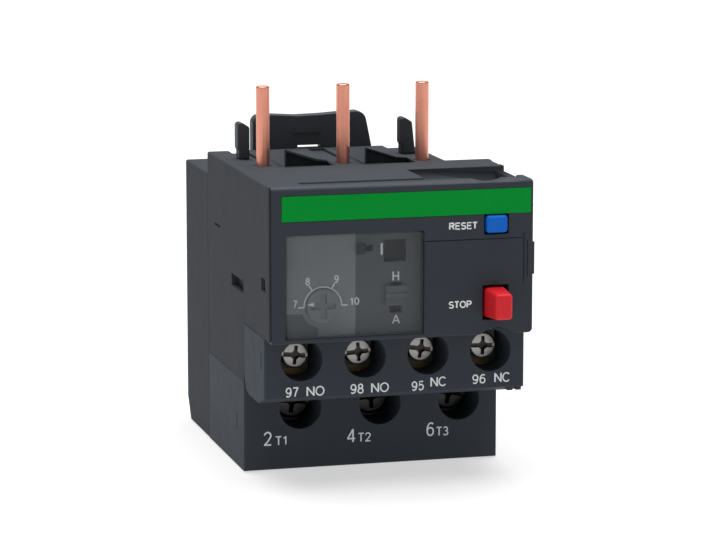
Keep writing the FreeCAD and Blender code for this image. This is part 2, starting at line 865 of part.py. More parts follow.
def aux_block():
    outline = [
        ("aux_face", "aux_front_low"),
        ("aux_face + aux_slope", "aux_bottom"),
        ("base_face", "aux_bottom"),
        ("base_face", "cover_bottom"),
        ("aux_face", "cover_bottom"),
    ]
    body = pad("aux_shell", "YZ_Plane", outline, "case_width")
    round_edges(
        body, lambda m, s: close(m.y, "base_face") and close(m.z, "aux_bottom"), "aux_round",
        "aux_back_round",
    )
    round_edges(
        body,
        lambda m, s: runs_along(s, "z") and close(m.y, "aux_face"),
        "edge_round", "aux_rounds",
    )
    ribs = []
    for number in range(2):
        right = f"(right_edge - rib_setback - {number} * (rib_width + rib_space))"
        ribs.append(block(
            f"aux_rib_{number}", (f"{right} - rib_width", right),
            ("aux_face + rib_start", "aux_face + aux_slope + rib_run"),
            ("aux_front_low - rib_drop", "aux_front_low + rib_start"),
        ))
    cuts = [block("aux_side_mark", ("left_edge - over", "left_edge + side_cut / 2"),
                  ("aux_face + notch_setback", "aux_face + notch_setback + mark_height"),
                  ("aux_front_low + notch_rise", "aux_front_low + notch_rise + notch_height"))]
    for place in AUX:
        x = aux_x(place)
        cuts += [
            rod(f"aux_hole_{place}", "y", (x, "aux_screw_z"), "aux_face - over",
                "aux_face + aux_hole_depth + lap",
                "aux_hole_r"),
            block(
                f"aux_chamber_{place}", (f"{x} - aux_chamber_half", f"{x} + aux_chamber_half"),
                ("aux_face + aux_hole_depth", "aux_chamber_back"),
                ("aux_bottom - over", "cover_bottom + over"),
            ),
        ]
    keep("aux_terminal_block", cut("aux_block_cut", join("aux_block_walls", [body] + ribs), cuts))


# Front cover: plate with window recess, button holes, label recess and side latch

def front_cover():
    outline = [
        (COVER_LEFT, "cover_bottom - cover_skirt"),
        (COVER_RIGHT, "cover_bottom - cover_skirt"),
        (COVER_RIGHT, "deck_height"),
        (COVER_LEFT, "deck_height"),
    ]
    body = pad("cover_plate", "XZ_Plane", outline, "cover_depth")
    round_edges(
        body,
        lambda m, s: runs_along(s, "y") and close(m.x, COVER_RIGHT),
        "cover_side_round", "cover_corner_rounds",
    )
    round_edges(
        body,
        lambda m, s: close(m.y, "0") and not close(m.x, COVER_LEFT),
        "cover_side_round / 2", "cover_front_rounds",
    )
    latch = block(
        "cover_latch", ("right_edge - latch_width", "right_edge + latch_proud"),
        ("sheet_gap", "latch_reach"),
        ("latch_low", "latch_high"),
    )
    nose = ("-over", "cover_top_round"), ("deck_height - cover_top_round", "deck_height + over")
    edge = cut(
        "cover_top_edge", block("cover_top_block", ("left_edge - over", "right_edge + over"), *nose),
        [rod("cover_top_rod", "x", ("cover_top_round", "deck_height - cover_top_round"), "left_edge - over",
             "right_edge + over", "cover_top_round")],
    )
    cuts = [
        edge,
        block("cover_top_groove", ("left_edge + deck_groove_setback", "pocket_left + over"),
              ("cover_depth - deck_groove_front", "cover_depth + over"),
              ("deck_height - deck_groove_depth", "deck_height + over")),
        block("skirt_clearance", ("left_edge - over", "right_edge + over"),
              ("aux_face - skirt_gap", "cover_depth + over"),
              ("cover_bottom - cover_skirt - over", "cover_bottom")),
        block("cover_hollow", ("recess_right + cover_hollow_setback", INNER),
              ("front_wall", "cover_depth + over"),
              (BODY_INSIDE, "deck_height - pocket_depth - wall")),
        block("cover_pocket", ("pocket_left", "pocket_right"), ("pocket_front", "cover_depth + over"),
              ("deck_height - pocket_depth", "deck_height + over")),
        block("window_recess", ("recess_left", "recess_right"), ("-over", "recess_depth"),
              ("cover_bottom + bottom_rail", "recess_top")),
        rod("flap_socket", "z", (FLAP_AXIS_X, "flap_thickness / 2"),
            "cover_bottom + bottom_rail - flap_pin_reach - sheet_gap",
            "recess_top + flap_pin_reach + sheet_gap",
            "flap_pin_r + fit_gap"),
        block("label_recess", ("label_left", "right_edge + over"), ("-over", "label_depth"),
              ("label_low", "label_high")),
        block("reset_hole", ("reset_x - reset_width / 2 - button_gap",
                             "reset_x + reset_width / 2 + button_gap"),
              ("-over", "cover_depth + over"),
              ("reset_z - reset_height / 2 - button_gap", "reset_z + reset_height / 2 + button_gap")),
        block("stop_hole", ("stop_x - stop_width / 2 - button_gap", "stop_x + stop_width / 2 + button_gap"),
              ("-over", "cover_depth + over"),
              ("stop_z - stop_height / 2 - button_gap", "stop_z + stop_height / 2 + button_gap")),
        rod("top_scoop", "y", ("scoop_x", f"deck_height - scoop_depth + {SCOOP_R}"), "-over",
            "cover_depth + over", SCOOP_R),
        rod("screw_arch", "y", (aux_x(3), "aux_screw_z"), "-over", "cover_depth + over",
            "aux_hole_r + arch_gap"),
        block("panel_groove_top", ("panel_left", "panel_right"), ("-over", "groove_depth"),
              ("panel_top - groove_width", "panel_top")),
        block("panel_groove_right", ("panel_right - groove_width", "panel_right"),
              ("-over", "groove_depth"),
              ("panel_groove_end", "panel_top + panel_groove_over")),
        block("latch_groove", ("right_edge - latch_width - groove_width", "right_edge - latch_width"),
              ("-over", "groove_depth"), ("latch_low - groove_width", "latch_high + groove_width")),
        rod("dial_hole", "y", ("dial_x", "dial_z"), "0", "cover_depth + over", "dial_shaft_r + fit_gap"),
        block("test_slot", TEST_SLOT_X, ("0", "cover_depth + over"), TEST_SLOT_Z),
        block("flag_window", ("flag_left", "flag_right"), ("0", "cover_depth + over"),
              ("flag_low", "flag_high")),
        block("selector_slot", SELECTOR_SLOT_X, ("0", "cover_depth + over"), SELECTOR_SLOT_Z),
    ]
    keep("front_cover", cut("front_cover_cut", join("front_cover_walls", [body, latch]), cuts))


# Green strip, bare

def label_strip():
    strip = block("label_strip_sheet", ("label_left + snug", "label_right"), ("0", "label_depth"),
                  ("label_low + snug", "label_high - snug"))
    keep("label_strip", alone("label_strip_piece", strip))


def alone(name, piece):
    """A finished piece made of one primitive, so that it can be moved as a whole."""
    return group(name, [piece])


# Setting plate: a thin sheet on the floor of the window recess

def setting_plate():
    through = ("0", "recess_depth + over")
    plate = block("plate_sheet_block", ("recess_left + snug", "recess_right - snug"),
                  (PLATE_FRONT, "recess_depth"),
                  ("cover_bottom + bottom_rail + snug", "recess_top - snug"))
    cuts = [
        rod("plate_dial_hole", "y", ("dial_x", "dial_z"), *through, "dial_shaft_r + slot_gap"),
        block("plate_test_slot", TEST_SLOT_X, through, TEST_SLOT_Z),
        block("plate_flag_window", ("flag_left", "flag_right"), through, ("flag_low", "flag_high")),
        block("plate_selector_slot", SELECTOR_SLOT_X, through, SELECTOR_SLOT_Z),
    ]
    keep("setting_plate", cut("setting_plate_cut", plate, cuts))


# Window flap: clear, turns on two short pins at its left edge

def window_flap():
    low = "(cover_bottom + bottom_rail + slot_gap)"
    high = "(recess_top - slot_gap)"
    pieces = [
        block("flap_sheet", (FLAP_AXIS_X, "recess_right - flap_gap"), ("0", "flap_thickness"), (low, high)),
        rod("flap_knuckle", "z", (FLAP_AXIS_X, "flap_thickness / 2"), low, high, "flap_thickness / 2"),
        rod("flap_pins", "z", (FLAP_AXIS_X, "flap_thickness / 2"),
            "cover_bottom + bottom_rail - flap_pin_reach",
            "recess_top + flap_pin_reach", "flap_pin_r"),
        block("flap_grip", ("recess_right - flap_gap - grip_width", "recess_right - flap_gap"),
              ("-grip_proud", "flap_thickness"), (low, high)),
    ]
    keep("window_flap", join("window_flap_piece", pieces))


# Setting dial and its cam

def dial():
    face = f"{KNOB_BACK} - dial_head"
    head = rod("dial_head_disc", "y", ("dial_x", "dial_z"), face, KNOB_BACK, "dial_r")
    shaft = rod("dial_shaft", "y", ("dial_x", "dial_z"), f"{KNOB_BACK} - lap", "frame_y - slot_gap",
                "dial_shaft_r")
    cuts = []
    for name, wide, tall in (("dial_slot_up", "dial_slot_width", "dial_slot_length"),
                             ("dial_slot_across", "dial_slot_length", "dial_slot_width")):
        cuts.append(block(name, (f"dial_x - {wide} / 2", f"dial_x + {wide} / 2"),
                          (f"{face} - over", f"{face} + dial_slot_depth"),
                          (f"dial_z - {tall} / 2", f"dial_z + {tall} / 2")))
    keep("setting_dial", cut("setting_dial_cut", join("setting_dial_solid", [head, shaft]), cuts))
    disc = rod("cam_disc", "y", ("dial_x - cam_offset", "dial_z"), FLANGE_Y, f"{FLANGE_Y} + cam_width",
               "cam_r")
    bore = rod("cam_bore", "y", ("dial_x", "dial_z"), "0", "frame_y", "dial_shaft_r")
    keep("dial_cam", cut("dial_cam_cut", disc, [bore]))


# Test slider: a small tab in an oval slot

def test_slider():
    pieces = [
        block("test_tab", ("test_x - test_width / 2", "test_x + test_width / 2"), ("knob_front", KNOB_BACK),
              ("test_z - test_height / 2", "test_z + test_height / 2")),
        block("test_neck", ("test_x - test_neck_half", "test_x + test_neck_half"),
              ("knob_front + lap", f"{FLANGE_Y} + lap"),
              ("test_z - test_neck_half", "test_z + test_neck_half")),
        block("test_flange", ("test_x - test_flange_left", "test_x + test_flange_right"),
              (FLANGE_Y, f"{FLANGE_Y} + flange_thick"),
              ("test_z - test_flange_low", "test_z + test_flange_high")),
    ]
    keep("test_slider", join("test_slider_piece", pieces))


# Trip flag: a sliding plate behind its window

def trip_flag():
    flag = block("flag_plate", ("flag_left - flag_lap", "flag_left - flag_lap + flag_plate_length"),
                 (FLANGE_Y, f"{FLANGE_Y} + flag_plate_thick"),
                 ("flag_low - flag_rim", "flag_high + flag_rim"))
    keep("trip_flag", alone("trip_flag_piece", flag))


# Mode selector: a knob that slides between its two letters

def mode_selector():
    x_low, x_high = "(selector_x - selector_width / 2)", "(selector_x + selector_width / 2)"
    z_high = "(selector_low + selector_height)"
    neck_low, neck_high = SELECTOR_SLOT_X
    pieces = [
        block("selector_knob", (x_low, x_high), ("knob_front + selector_step", KNOB_BACK),
              ("selector_low", z_high)),
        block("selector_ridge", (x_low, x_high), ("knob_front", KNOB_BACK),
              ("selector_low + selector_ridge_inset", f"{z_high} - selector_ridge_inset")),
        block("selector_neck", (f"{neck_low} + slot_gap", f"{neck_high} - slot_gap"),
              ("knob_front + selector_step + lap", f"{FLANGE_Y} + lap"),
              ("selector_low + selector_step", f"{z_high} - selector_step")),
        block("selector_flange", (f"{x_low} - slot_gap", f"{x_high} + slot_gap"),
              (FLANGE_Y, f"{FLANGE_Y} + flange_thick"),
              ("selector_low - selector_rim", f"{z_high} + selector_rim")),
    ]
    keep("mode_selector", join("mode_selector_piece", pieces))


# Push buttons: cap, retaining flange and stem

def button(node, name, stem_end, taper):
    x, z = f"{name}_x", f"{name}_z"
    wide, tall, proud = f"{name}_width", f"{name}_height", f"{name}_proud"
    body = doc.addObject("PartDesign::Body", f"{name}_body")
    inset = "stop_draft" if taper else "reset_inset"
    rims = []
    for label, y, less in (("foot", "button_flange_y + sheet_gap", "0"), ("face", f"-{proud}", inset)):
        outline = [
            (f"{x} - {wide} / 2 + {less}", f"{z} - {tall} / 2 + {less}"),
            (f"{x} + {wide} / 2 - {less}", f"{z} - {tall} / 2 + {less}"),
            (f"{x} + {wide} / 2 - {less}", f"{z} + {tall} / 2 - {less}"),
            (f"{x} - {wide} / 2 + {less}", f"{z} + {tall} / 2 - {less}"),
        ]
        sketch = sketch_on(body, "XZ_Plane", f"{name}_{label}", outline)
        sketch.setExpression("AttachmentOffset.Base.z", link(f"-({y})"))
        rims.append(sketch)
    loft = body.newObject("PartDesign::AdditiveLoft", f"{name}_cap")
    loft.Profile = rims[0]
    loft.Sections = [rims[1]]
    loft.Ruled = True
    doc.recompute()
    round_edges(body, lambda m, s: not close(m.y, "button_flange_y + sheet_gap"), "button_round",
                f"{name}_rounds")
    pieces = [
        body,
        block(f"{name}_flange", (f"{x} - {wide} / 2 - button_retain", f"{x} + {wide} / 2 + button_retain"),
              ("button_flange_y", "button_flange_y + flange_thick"),
              (f"{z} - {tall} / 2 - button_retain", f"{z} + {tall} / 2 + button_retain")),
        block(f"{name}_stem", (f"{x} - stem_width / 2", f"{x} + stem_width / 2"),
              ("button_flange_y", stem_end), (f"{z} - stem_width / 2", f"{z} + stem_width / 2")),
    ]
    keep(node, join(f"{name}_piece", pieces))


# Coil springs along Y

def coil(node, x, z, low, high, radius, turns):
    """A round-wire spring whose end coils lie just inside its two seats."""
    length = f"({high}) - ({low}) - spring_wire - coil_gap"
    spine = doc.addObject("Part::Helix", f"{node}_line")
    spine.setExpression("Radius", link(radius))
    spine.setExpression("Height", link(length))
    spine.setExpression("Pitch", link(f"({length}) / {turns}"))
    spine.SegmentLength = 1
    wire = doc.addObject("Part::Circle", f"{node}_wire")
    wire.setExpression("Radius", link("spring_wire / 2"))
    wire.Placement = FreeCAD.Placement(FreeCAD.Vector(), FreeCAD.Rotation(FreeCAD.Vector(1, 0, 0), 90))
    wire.setExpression("Placement.Base.x", link(radius))
    sweep = doc.addObject("Part::Sweep", f"{node}_sweep")
    sweep.Sections = [wire]
    sweep.Spine = (spine, [f"Edge{i + 1}" for i in range(turns)])
    sweep.Solid = True
    sweep.Frenet = True
    sweep.Placement = FreeCAD.Placement(FreeCAD.Vector(), TURNS["y"])
    sweep.setExpression("Placement.Base.x", link(x))
    sweep.setExpression("Placement.Base.z", link(z))
    sweep.setExpression("Placement.Base.y", link(f"({low}) + spring_wire / 2 + coil_gap / 2"))
    keep(node, alone(f"{node}_piece", sweep))


# Mechanism plate: stands behind the cover, guides the stems and seats the springs

def mechanism_plate():
    plate = block("frame_block", (f"-{INNER}", INNER), ("frame_y", FRAME_BACK), (BODY_INSIDE, "frame_top"))
    cuts = []
    for name in ("reset", "stop"):
        cuts.append(block(
            f"{name}_stem_hole", (f"{name}_x - stem_width / 2 - slip", f"{name}_x + stem_width / 2 + slip"),
            ("frame_y - over", f"{FRAME_BACK} + over"),
            (f"{name}_z - stem_width / 2 - slip", f"{name}_z + stem_width / 2 + slip"),
        ))
    keep("mechanism_plate", cut("mechanism_plate_cut", plate, cuts))


# Line pins with their welding tabs

def line_pins():
    for pole in POLES:
        x = pin_x(pole)
        pin = rod(f"pin_rod_{pole}", "z", (x, "pin_y"), "deck_height - wall", "pin_top - pin_tip_cut",
                  "pin_r")
        shoulder = rod(f"pin_shoulder_{pole}", "z", (x, "pin_y"), "pin_low", "deck_height - shoulder_drop",
                       "pin_shoulder_r")
        tip = doc.addObject("Part::Cone", f"pin_tip_{pole}")
        tip.setExpression("Radius1", link("pin_r"))
        tip.setExpression("Radius2", link("pin_r - pin_tip_cut"))
        tip.setExpression("Height", link("pin_tip_cut"))
        tip.setExpression("Placement.Base.x", link(x))
        tip.setExpression("Placement.Base.y", link("pin_y"))
        tip.setExpression("Placement.Base.z", link("pin_top - pin_tip_cut"))
        tab = block(f"pin_tab_{pole}", (f"{x} - pin_tab_half", f"{x} + pin_tab_half"),
                    ("pin_y", "strip_y - winding_over"), ("pin_low", "winding_top"))
        keep(f"line_pin_{pole + 1}", join(f"line_pin_piece_{pole}", [pin, shoulder, tip, tab]))


# Bimetal strips, each standing on its busbar inside its heater winding

def bimetals():
    for pole in POLES:
        x = pin_x(pole)
        strip = block(f"strip_{pole}", (f"{x} - strip_thick / 2", f"{x} + strip_thick / 2"),
                      ("strip_y", "strip_y + strip_width"), ("strip_low", "strip_top - tip_length"))
        middle = "(strip_y + strip_width / 2)"
        tip = block(f"strip_tip_{pole}", (f"{x} - strip_thick / 2", f"{x} + strip_thick / 2"),
                    (f"{middle} - tip_width / 2", f"{middle} + tip_width / 2"),
                    ("strip_top - tip_length - lap", "strip_top"))
        keep(f"bimetal_strip_{pole + 1}", join(f"bimetal_piece_{pole}", [strip, tip]))
        keep(f"heater_winding_{pole + 1}", heater(pole, x))


def heater(pole, x):
    """An insulating sleeve with the turns of the flat heater wire round it."""
    y_low, y_high = "(strip_y - winding_over)", "(strip_y + strip_width + winding_over)"
    sleeve = block(f"sleeve_{pole}", (f"{x} - sleeve_half", f"{x} + sleeve_half"),
                   (f"{y_low} + sleeve_inset", f"{y_high} - sleeve_inset"), ("winding_low", "winding_top"))
    turns = []
    count = int(SIZES["turn_count"])
    for turn in range(count):
        step = "((winding_top - winding_low) / turn_count)"
        low = f"(winding_low + {turn} * {step})"
        turns.append(block(f"turn_{pole}_{turn}", (f"{x} - winding_half", f"{x} + winding_half"),
                           (y_low, y_high),
                           (low, f"{low} + turn_share * {step}")))
    top_turn = block(f"top_turn_{pole}", (f"{x} - winding_half", f"{x} + winding_half"), (y_low, y_high),
                     ("winding_top - top_turn_height", "winding_top"))
    hole = block(f"sleeve_hole_{pole}",
                 (f"{x} - strip_thick / 2 - strip_gap", f"{x} + strip_thick / 2 + strip_gap"),
                 ("strip_y - strip_gap", "strip_y + strip_width + strip_gap"),
                 ("winding_low - over", "winding_top + over"))
    return cut(f"winding_cut_{pole}", join(f"winding_solid_{pole}", [sleeve, top_turn] + turns), [hole])


# Load busbars: terminal plate, shoulder and leg in one flat sheet

def busbars():
    for pole in POLES:
        t, p = power_x(pole), pin_x(pole)
        outline = [
            (f"{t} - busbar_half", "busbar_low"),
            (f"{t} + busbar_half", "busbar_low"),
            (f"{t} + busbar_half", "busbar_plate_top"),
            (f"{p} + busbar_leg_half", "busbar_plate_top"),
            (f"{p} + busbar_leg_half", "busbar_top"),
            (f"{p} - busbar_leg_half", "busbar_top"),
            (f"{p} - busbar_leg_half", "busbar_plate_top - busbar_shoulder"),
            (f"{t} - busbar_half", "busbar_plate_top - busbar_shoulder"),
        ]
        body = pad(f"busbar_sheet_{pole}", "XZ_Plane", outline, "busbar_thick", "busbar_y")
        hole = rod(f"busbar_hole_{pole}", "y", (t, "power_screw_z"), "busbar_y - over",
                   "busbar_y + busbar_thick + over",
                   "power_shank_r + fit_gap")
        keep(f"load_busbar_{pole + 1}", cut(f"busbar_cut_{pole}", body, [hole]))


# Screws: round head with slot and cross, plain shank

def screw(name, x, z, sizes):
    face = f"{sizes}_head_y"
    seat = f"{face} + {sizes}_head_height"
    drive = (f"{face} - over", f"{face} + drive_depth")
    head = rod(f"{name}_head", "y", (x, z), face, seat, f"{sizes}_head_r")
    shank = rod(f"{name}_shank", "y", (x, z), f"{seat} - lap", f"{seat} + {sizes}_shank_length",
                f"{sizes}_shank_r")
    slot = block(f"{name}_slot", (f"{x} - {sizes}_head_r - over", f"{x} + {sizes}_head_r + over"), drive,
                 (f"{z} - drive_width / 2", f"{z} + drive_width / 2"))
    cross = block(f"{name}_cross", (f"{x} - drive_width / 2", f"{x} + drive_width / 2"), drive,
                  (f"{z} - drive_reach * {sizes}_head_r", f"{z} + drive_reach * {sizes}_head_r"))
    return cut(f"{name}_cut", join(f"{name}_solid", [head, shank]), [slot, cross])


def screws_and_washers():
    screws = [screw(f"aux_screw_{i}", aux_x(i), "aux_screw_z", "aux") for i in AUX]
    keep("aux_terminal_screws", group("aux_screw_group", screws))
    screws = [screw(f"power_screw_{i}", power_x(i), "power_screw_z", "power") for i in POLES]
    keep("power_terminal_screws", group("power_screw_group", screws))
    washers = []
    for place in AUX:
        x = aux_x(place)
        seat = "(aux_head_y + aux_head_height)"
        plate = block(f"aux_washer_{place}", (f"{x} - aux_washer_half", f"{x} + aux_washer_half"),
                      (seat, f"{seat} + aux_washer_thick"),
                      ("aux_screw_z - aux_washer_half", "aux_screw_z + aux_washer_half"))
        hole = rod(f"aux_washer_hole_{place}", "y", (x, "aux_screw_z"), "0", "base_face",
                   "aux_shank_r + fit_gap")
        washers.append(cut(f"aux_washer_cut_{place}", plate, [hole]))
    keep("aux_clamp_washers", group("aux_washer_group", washers))
    washers = []
    for pole in POLES:
        x = power_x(pole)
        seat = "(power_head_y + power_head_height)"
        plate = block(f"power_washer_{pole}", (f"{x} - power_washer_half", f"{x} + power_washer_half"),
                      (seat, f"{seat} + power_washer_thick"), ("power_washer_low", "busbar_plate_top"))
        hole = rod(f"power_washer_hole_{pole}", "y", (x, "power_screw_z"), "0", "body_back",
                   "power_shank_r + fit_gap")
        washers.append(cut(f"power_washer_cut_{pole}", plate, [hole]))
    keep("power_clamp_washers", group("power_washer_group", washers))


# Contact leads: the outer strip is clamped by the screw, the inner head meets a moving blade

def leads():
    names = ["no_lead_97", "no_lead_98", "nc_lead_95", "nc_lead_96"]
    for place, node in enumerate(names):
        x = aux_x(place)
        wide = (f"{x} - lead_half", f"{x} + lead_half")
        back = "(lead_y + lead_thick)"
        eye = block(f"lead_eye_{place}", (f"{x} - lead_eye_half", f"{x} + lead_eye_half"), ("lead_y", back),
                    ("lead_low", "cover_bottom - lead_eye_drop"))
        if place < 2:
            head_y = "(carrier_y + carrier_width / 2 + blade_thick / 2 + closing_gap)"
            pieces = [
                eye,
                block(f"lead_low_{place}", wide, ("lead_y", back),
                      ("lead_low", f"{BODY_INSIDE} + lead_thick")),
                block(f"lead_step_{place}", wide, ("lead_y", f"{head_y} + lead_thick"),
                      (BODY_INSIDE, f"{BODY_INSIDE} + lead_thick")),
                block(f"lead_head_{place}", wide, (head_y, f"{head_y} + lead_thick"),
                      (BODY_INSIDE, "lead_top")),
            ]
            strip = join(f"lead_strip_{place}", pieces)
        else:
            blade = block(f"lead_blade_{place}", wide, ("lead_y", back), ("lead_low", "lead_top"))
            strip = join(f"lead_strip_{place}", [eye, blade])
        hole = rod(f"lead_hole_{place}", "y", (x, "aux_screw_z"), "lead_y - over", f"{back} + over",
                   "aux_shank_r + fit_gap")
        keep(node, cut(f"lead_cut_{place}", strip, [hole]))


# Slide bar: lies over the phase walls; the strip tips stand in its slots and push it to the right

def slide_bar():
    bar = block("bar_block", ("bar_left", "bar_right"), ("strip_y", "strip_y + strip_width"),
                ("bar_low", BAR_TOP))
    finger = block("bar_finger", ("bar_right - finger_width", "bar_right"), ("finger_y", "strip_y + lap"),
                   ("bar_low", BAR_TOP))
    cuts = []
    middle = "(strip_y + strip_width / 2)"
    for pole in POLES:
        x = pin_x(pole)
        cuts.append(block(
            f"bar_slot_{pole}", (f"{x} - strip_thick / 2 - slip - bar_travel",
                                 f"{x} + strip_thick / 2 + slip"),
            (f"{middle} - tip_width / 2 - slip", f"{middle} + tip_width / 2 + slip"),
            ("bar_low - over", f"{BAR_TOP} + over"),
        ))
    keep("slide_bar", cut("slide_bar_cut", join("slide_bar_solid", [bar, finger]), cuts))


# Trip lever on its pin, with the temperature-compensating strip

def trip_lever():
    hub = rod("lever_hub", "z", ("lever_x", "lever_y"), "lever_low", BAR_TOP, "hub_r")
    arm = block("lever_arm", ("lever_x - arm_reach", "lever_x"), ("lever_y - peg_r", "lever_y + peg_r"),
                ("lever_low", "lever_low + arm_height"))
    peg = rod("lever_peg", "z", ("lever_x - arm_reach", "lever_y"), "peg_low", "lever_low + arm_height",
              "peg_r")
    bore = rod("lever_bore", "z", ("lever_x", "lever_y"), "lever_low - over", f"{BAR_TOP} + over",
               "pivot_r + fit_gap")
    keep("trip_lever", cut("trip_lever_cut", join("trip_lever_solid", [hub, arm, peg]), [bore]))
    strip = block("comp_strip", ("lever_x - strip_thick / 2", "lever_x + strip_thick / 2"),
                  ("lever_y + hub_r", "lever_y + comp_length"), (f"{BAR_TOP} - comp_height", BAR_TOP))
    keep("compensating_strip", alone("comp_strip_piece", strip))
    pin = rod("pivot_pin_rod", "z", ("lever_x", "lever_y"), BODY_INSIDE, "deck_height - wall", "pivot_r")
    keep("lever_pivot_pin", alone("pivot_pin_piece", pin))


# Contact carrier with its two moving blades

def contact_carrier():
    top = "(carrier_low + carrier_height)"
    z = ("carrier_low", top)
    peg_x = "(lever_x - arm_reach)"
    bar = block("carrier_bar", ("-carrier_half", "carrier_half"),
                ("carrier_y", "carrier_y + carrier_width"), z)
    web = (f"{peg_x} - peg_r - web_gap - web_thick", f"{peg_x} - peg_r - web_gap")
    prong = (web[0], f"{peg_x} + peg_r + web_gap")
    fork_low, fork_high = "lever_y - peg_r - slip", "lever_y + peg_r + slip"
    pieces = [
        bar,
        block("carrier_web", web, ("carrier_y", f"{fork_high} + fork_wall"), z),
        block("fork_front", prong, (f"{fork_low} - fork_wall", fork_low), z),
        block("fork_back", prong, (fork_high, f"{fork_high} + fork_wall"), z),
    ]
    keep("contact_carrier", join("contact_carrier_piece", pieces))
    middle = "(carrier_y + carrier_width / 2)"
    for node, first in (("no_contact_blade", 0), ("nc_contact_blade", 2)):
        blade = block(f"{node}_strip", (f"{aux_x(first)} - blade_over", f"{aux_x(first + 1)} + blade_over"),
                      (f"{middle} - blade_thick / 2", f"{middle} + blade_thick / 2"),
                      ("carrier_low - blade_drop", "carrier_low"))
        keep(node, alone(f"{node}_piece", blade))


# Latch plate and the two hooks that catch the contactor

def latch_plate():
    outline = [
        ("plate_left", "rear_height"),
        ("plate_right_low", "rear_height"),
        ("plate_right_low - plate_slant_low", "deck_height"),
        ("plate_right_low - plate_slant", "plate_top"),
        ("plate_left + plate_right_dip", "plate_top - 0.8 * plate_dip"),
        ("plate_left + plate_middle_dip", "plate_top - plate_dip"),
        ("plate_left + plate_left_dip", "plate_top - 0.5 * plate_dip"),
        ("plate_left", "plate_top - plate_left_drop"),
    ]
    body = pad("latch_sheet", "XZ_Plane", outline, "plate_thickness", "plate_y")
    round_edges(
        body,
        lambda m, s: runs_along(s, "y") and close(m.z, "plate_top"),
        "latch_right_round", "latch_right_corner",
    )
    round_edges(
        body,
        lambda m, s: runs_along(s, "y") and close(m.z, "plate_top - plate_left_drop") and close(m.x,
                                                                                                "plate_left"),
        "latch_left_round", "latch_left_corner",
    )
    rib = block("latch_rib", ("plate_left + latch_rib_left", "plate_left + latch_rib_right"),
                ("plate_y - latch_rib_proud", "plate_y + lap"),
                ("plate_top - latch_rib_drop - latch_rib_height", "plate_top - latch_rib_drop"))
    window = block("latch_window", ("plate_left + latch_window_left", "plate_left + latch_rib_right"),
                   ("plate_y - over", "plate_y + plate_thickness + over"),
                   ("deck_height - latch_window_drop", "deck_height + latch_window_rise"))
    keep("latch_plate", cut("latch_plate_cut", join("latch_plate_solid", [body, rib]), [window]))


def side_hooks():
    for node, x, spread in (("left_hook", "left_hook_x", "0"),
                            ("right_hook", "right_hook_x", "hook_flare")):
        outline = [
            (x, "deck_height"),
            (f"{x} + hook_width + {spread}", "deck_height"),
            (f"{x} + hook_width", "deck_height + hook_height - hook_top_drop"),
            (f"{x} + hook_width / 3", "deck_height + hook_height"),
            (f"{x} - barb_out", "deck_height + hook_height"),
            (f"{x} - barb_out", "deck_height + barb_height + barb_slope"),
            (x, "deck_height + barb_height"),
        ]
        body = pad(f"{node}_body", "XZ_Plane", outline, "hook_depth", "hook_y")
        round_edges(
            body,
            lambda m, s: runs_along(s, "y") and m.z > evaluate("deck_height + hook_height - over"),
            "hook_top_round", f"{node}_rounds",
        )
        keep(node, body)


def build():
    case_body()
    rear_base()
    power_block()
    aux_block()
    front_cover()
    label_strip()
    setting_plate()
    window_flap()
    dial()
    test_slider()
    trip_flag()
    mode_selector()
    button("reset_button", "reset", "reset_stem_end", False)
    button("stop_button", "stop", "stop_stem_end", True)
    spring_seat = "(button_flange_y + flange_thick)"
    coil("reset_spring", "reset_x", "reset_z", spring_seat, "frame_y", "spring_r", 4)
    coil("stop_spring", "stop_x", "stop_z", spring_seat, "frame_y", "spring_r", 4)
    coil("trip_spring", "0", "carrier_low + carrier_height / 2", FRAME_BACK, "carrier_y", "trip_spring_r",
         3)
    mechanism_plate()
    line_pins()
    bimetals()
    busbars()
    screws_and_washers()
    leads()
    slide_bar()
    trip_lever()
    contact_carrier()
    latch_plate()
    side_hooks()


def check():
    """Every object is up to date and every piece is a valid closed shape."""
    doc.recompute()
    for item in doc.Objects:
        if "Invalid" in item.State or "Error" in item.State:
            raise RuntimeError(f"{item.Name} failed: {item.State}")
    for node, piece in nodes.items():
        shape = piece.Shape
        if shape.isNull() or not shape.isValid() or not shape.Solids:
            raise RuntimeError(f"{node} has no valid solid")


build()
check()
os.makedirs("parts", exist_ok=True)
for node, piece in nodes.items():
    piece.Shape.exportStep(f"parts/{node}.step")
    box = piece.Shape.BoundBox
    print(f"{node:24s} solids {len(piece.Shape.Solids)}  x {box.XMin:7.2f} {box.XMax:7.2f}"
          f"  y {box.YMin:7.2f} {box.YMax:7.2f}  z {box.ZMin:7.2f} {box.ZMax:7.2f}")
print(len(nodes), "nodes")
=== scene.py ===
# %% [markdown]
# # A thermal overload relay in Blender
# The relay is a dark moulded box that hangs under a contactor on three copper pins. Its solids come from
# the CAD model and are loaded as a fixed frame, in metres. This lesson gives those solids their finishes,
# softens their edges, and adds what is too fine for the CAD model: printing, screws with real recesses,
# and the small marks behind the window.

# %% Load the relay, with a way to read a part's box
import math

